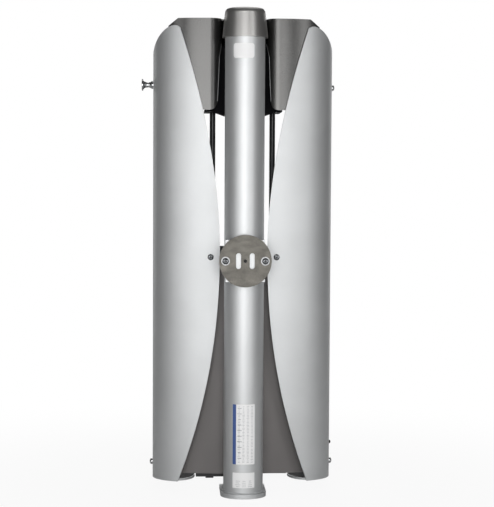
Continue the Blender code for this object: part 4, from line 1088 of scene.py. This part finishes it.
EXIT_LOW, EXIT_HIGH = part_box("cable_column_run")
LOW_R, HEAD_R = LOW_Z - (EXIT_LOW[2] + CABLE_R), STACK_Y - HEAD_Y
route = arc(HEAD_Y, HEAD_Z, HEAD_R, HEAD_R, 0, 180, 40)
route += arc(LOW_Y, LOW_Z, LOW_R, LOW_R, 180, 270, 20) + [(EXIT_HIGH[1], LOW_Z - LOW_R)]
fixed = bar_along([(0, y, z) for y, z in route], CABLE_R)
keep("cable_fixed", fixed, NYLON, "cable_column_run", slot="cable_coat", smooth=60)

# %% The threaded stud on the cable's end
STUD_L, THREAD_FROM, THREAD_PITCH, THREADS = 0.040, 0.020, 0.0013, 15
threads = []
for i in range(THREADS):
    at = THREAD_FROM + i * THREAD_PITCH
    threads += [(0.0043, at), (0.0048, at + THREAD_PITCH / 2)]
stud = [(0, 0), (0.0055, 0), (0.0065, 0.001), (0.0065, 0.0195), (0.0060, THREAD_FROM)]
stud += threads[1:] + [(0.0040, STUD_L), (0, STUD_L)]
stud_place = (0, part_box("cable_end_stud")[0][1], centre("cable_end_stud")[2])
keep("cable_stud", lathe(list(reversed(stud)), stud_place, "Y", 40), ZINC_AND_GLINT, "cable_end_stud",
     smooth=25)


# %% Axles
def axle(name, middle, half, shoulder, head_r, shank_r, node):
    upper = [(0, half), (head_r - 0.001, half), (head_r, half - 0.001), (head_r, shoulder),
             (shank_r, shoulder)]
    form = upper + [(r, -h) for r, h in reversed(upper)]
    keep(name, lathe(form, middle, "X", 48), ZINC_AND_GLINT, node)


low_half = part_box("low_pulley_axle")[1][0]
axle("head_axle", (0, HEAD_Y, HEAD_Z), 0.0255, 0.0190, 0.0100, 0.0080, "head_pulley_axle")
axle("low_axle", (0, LOW_Y, LOW_Z), low_half, low_half - 0.0045, 0.0090, 0.0060, "low_pulley_axle")

# %% [markdown]
# ## Steelwork that keeps its own shape
# Brackets, beams and bars are already right in the model: plates and boxes with drilled holes. They
# only lack softened edges, so each is copied, its loose triangles are merged into flat faces, and a
# small bevel is added.

# %% Soften the edges of a model node
def softened(node, name, material, edge, segments=2):
    bm = bmesh.new()
    bm.from_mesh(NODES[node].data)
    bmesh.ops.remove_doubles(bm, verts=bm.verts, dist=2e-5)
    bmesh.ops.dissolve_limit(bm, angle_limit=math.radians(1.0), verts=bm.verts, edges=bm.edges)
    keep(name, combine(as_mesh(bm), edge=edge, segments=segments), material, node)


# The frame plate seen through the arch is near-black: painted shade in the recess.
softened("top_frame", "top_frame_plate", SHADE_BLACK, 0.0010)
softened("head_pulley_bracket", "pulley_bracket", BLACK, 0.0007)
softened("mid_crossbar", "crossbar", BLACK, 0.0007)
softened("base_spine", "spine_beam", BLACK, 0.0030, segments=3)
softened("connector_bracket", "connector", BLACK, 0.0012)
for side in ("left", "right"):
    softened("stack_rest_" + side, "rest_bar_" + side, BLACK, 0.0015)
    softened("rear_pad_" + side, "floor_pad_" + side, RUBBER, 0.0015)

# %% The rear beam with its end caps
CAP_OVERLAP, CAP_L, CAP_IN = 0.004, 0.010, 0.0004
(left, front, low), (right, back, high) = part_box("rear_foot_beam")
beam = block((left + CAP_OVERLAP, front, low), (right - CAP_OVERLAP, back, high))
keep("rear_beam", combine(beam, edge=0.004, segments=4), BLACK, "rear_foot_beam")
caps = [combine(block((x0, front + CAP_IN, low + CAP_IN), (x1, back - CAP_IN, high - CAP_IN)),
                edge=0.0035, segments=3)
        for x0, x1 in ((left, left + CAP_L), (right - CAP_L, right))]
keep("beam_caps", joined(*caps), NYLON)

# %% [markdown]
# ## The lower panel and the base pods
# The panel is a sheet with a gentle bow. A node tree starts from a flat grid and pushes each point
# back by the square of its distance from the middle. Solidify then gives the sheet its 3 mm, and the
# openings for the column and along the floor are cut. The pods are thin floor plates inside the
# shells, black on top as painted shade, with a silver strip as the painted highlight of their lit
# front edge.

# %% A node tree for the bowed panel
bow = Tree("bowed_panel", Width="Float", Height="Float", Bow="Float", Front="Float",
           Bottom="Float", Material="Material")
grid = bow.node("GeometryNodeMeshGrid", {
    "Size X": bow.given["Width"], "Size Y": bow.given["Height"], "Vertices X": 81,
    "Vertices Y": 41})[0]
place = bow.position()
square = bow.math("MULTIPLY", place[0], place[0])
depth = bow.math("ADD", bow.math("MULTIPLY", square, bow.given["Bow"]), bow.given["Front"])
half_h = bow.math("MULTIPLY", bow.given["Height"], 0.5)
height = bow.math("ADD", bow.math("ADD", place[1], half_h), bow.given["Bottom"])
spot = bow.xyz(X=place[0], Y=depth, Z=height)
bow.finish(bow.node("GeometryNodeSetPosition", {"Geometry": grid, "Position": spot})[0])

PANEL_T, PANEL_BOW = 0.003, 0.020 / 0.21 ** 2
COLUMN_ROOM, RAISED = (0.058, 0.165), (0.216, 0.0525)
(left, front, low), (right, _, high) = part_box("lower_panel")
sheet = grown(bow, Width=right - left, Height=high - low, Bow=PANEL_BOW, Front=front, Bottom=low,
              Material=PANEL)
rooms = [block((-x, 0.0, 0.0), (x, 0.12, z)) for x, z in (COLUMN_ROOM, RAISED)]
panel = combine(thicken(sheet, PANEL_T, 1.0), *rooms, edge=0.0008, segments=2, angle=60)
keep("stack_guard", panel, PANEL, "lower_panel")

# %% Pods: a black floor as painted shade and a silver strip as the painted lit edge
POD_LOW, POD_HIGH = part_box("base_pod_right")
POD_END_X, POD_FRONT_Y, POD_BACK_Y = 0.222, 0.0490, 0.2045
POD_EDGE, POD_GAP, POD_TOP = 0.0016, 0.0006, POD_LOW[2] + 0.008
POD_TAB = ((0.2795, 0.12, 0.035), (0.2850, 0.16, POD_HIGH[2]))


def pod_outline(inset):
    """An elliptical inner end, closed by the shell's inner face."""
    reach, half = POD_END_X - POD_LOW[0] - inset, (POD_BACK_Y - POD_FRONT_Y) / 2 - inset
    front, back = plan_run(SHELL_T + POD_GAP + inset, 60, 40)
    end = arc(POD_END_X, (POD_BACK_Y + POD_FRONT_Y) / 2, reach, half, 90, 270, 40)
    end += [p for p in front if p[0] > POD_END_X + 0.004]
    return end + [p for p in back if p[1] < POD_BACK_Y - inset - 0.001]


# The floor's black top is painted shade inside the shells.
floor_plate = flat_outline(pod_outline(POD_EDGE + 0.0002), POD_LOW[2] + 0.0006, POD_TOP - 0.0004)
pod = combine(floor_plate, add=block(*POD_TAB), edge=0.0010, segments=2)
# The silver strip round its edge is the painted highlight of the plate's lit front edge.
lit_edge = combine(flat_outline(pod_outline(0.0), POD_LOW[2] + 0.0002, POD_TOP - 0.0006),
               flat_outline(pod_outline(POD_EDGE), POD_LOW[2] - 0.01, POD_TOP + 0.01),
               edge=0.0006, segments=2)
for side, flip in (("left", mirror_mesh), ("right", lambda mesh: mesh.copy())):
    keep("pod_floor_" + side, flip(pod), SHADE_BLACK, "base_pod_" + side)
    keep("pod_trim_" + side, flip(lit_edge), SILVER_AND_LIT_EDGE)

# %% [markdown]
# ## Labels on the column
# The labels are thin vinyl wrapped round the tube: a small blank one at the top, a chart near the
# foot and a plain one below it. All writing is left out. The chart keeps its look from a distance
# with rows of plain dashes, set by a node tree that also bends them round the column.

# %% Wrap a flat label round the column
SKIN, INK_LIFT, VINYL_T = 0.0004, 0.0003, 0.0002


def wrapped(width, height, z, corner, lift, side=0.0, strips=24):
    """A rounded rectangle, cut into strips and bent onto the tube's front."""
    bm = bmesh.new()
    outline = rounded_box(width / 2, height / 2, corner)
    bm.faces.new([bm.verts.new((x, 0, y)) for x, y in outline])
    for i in range(1, strips):
        cut = -width / 2 + width * i / strips
        bmesh.ops.bisect_plane(bm, geom=bm.verts[:] + bm.edges[:] + bm.faces[:],
                               plane_co=(cut, 0, 0), plane_no=(1, 0, 0))
    radius = COLUMN_R + lift
    for v in bm.verts:
        turn = (v.co.x + side) / COLUMN_R
        v.co = Vector((radius * math.sin(turn), -radius * math.cos(turn), v.co.z + z))
    return thicken(as_mesh(bm), VINYL_T, 0.0)


CHART_Z, CHART_H, CHART_W, CHART_SIDE = 0.204, 0.192, 0.073, -0.0015
BAND_SIDE = CHART_SIDE - CHART_W / 2 + 0.006
for name, ink, shape in (
        ("label_top", VINYL, (0.068, 0.046, 1.415, 0.008, SKIN, -0.007)),
        ("label_chart", VINYL, (CHART_W, CHART_H, CHART_Z, 0.0015, SKIN, CHART_SIDE)),
        ("label_band", BLUE, (0.0115, CHART_H - 0.0004, CHART_Z, 0.0008, SKIN + INK_LIFT,
                              BAND_SIDE, 4)),
        ("label_low", VINYL, (CHART_W, 0.049, 0.057, 0.0015, SKIN, CHART_SIDE))):
    keep(name, wrapped(*shape), ink, smooth=60)

# %% A node tree for rows of dashes
rows = Tree("dash_rows", Columns="Int", Rows="Int", Width="Float", Height="Float", Dash="Float",
            Weight="Float", Side="Float", Level="Float", Radius="Float", Seed="Int",
            Material="Material")
radius = rows.given["Radius"]
field = rows.node("GeometryNodeMeshGrid", {
    "Size X": rows.given["Width"], "Size Y": rows.given["Height"],
    "Vertices X": rows.given["Columns"], "Vertices Y": rows.given["Rows"]})[0]
stroke = rows.node("GeometryNodeMeshGrid", {"Size X": 1.0, "Size Y": 1.0, "Vertices X": 5,
                                            "Vertices Y": 2})[0]
length = rows.math("MULTIPLY", rows.random(0.35, 1.0, rows.given["Seed"]), rows.given["Dash"])
sized = rows.xyz(X=length, Y=rows.given["Weight"], Z=1.0)
strokes = rows.copies(field, stroke, Scale=sized)
loose = rows.node("GeometryNodeRealizeInstances", {"Geometry": strokes})[0]
at = rows.position()
angle = rows.math("DIVIDE", rows.math("ADD", at[0], rows.given["Side"]), radius)
around = rows.xyz(
    X=rows.math("MULTIPLY", rows.math("SINE", angle), radius),
    Y=rows.math("MULTIPLY", rows.math("COSINE", angle), rows.math("MULTIPLY", radius, -1.0)),
    Z=rows.math("ADD", at[1], rows.given["Level"]))
rows.finish(rows.node("GeometryNodeSetPosition", {"Geometry": loose, "Position": around})[0])


def dashes(name, columns, count, width, height, dash, weight, side, level, seed):
    mesh = grown(rows, Columns=columns, Rows=count, Width=width, Height=height, Dash=dash,
                 Weight=weight, Side=side, Level=level, Radius=COLUMN_R + SKIN + INK_LIFT,
                 Seed=seed, Material=INK)
    keep(name, mesh, INK, smooth=0)


dashes("chart_rows", 4, 40, 0.042, 0.178, 0.009, 0.0009, 0.0045, CHART_Z, 7)
dashes("chart_heads", 1, 10, 0.0, 0.160, 0.016, 0.0015, -0.0150, CHART_Z + 0.004, 11)
dashes("low_rows", 3, 4, 0.040, 0.018, 0.017, 0.0010, 0.0, 0.0460, 5)
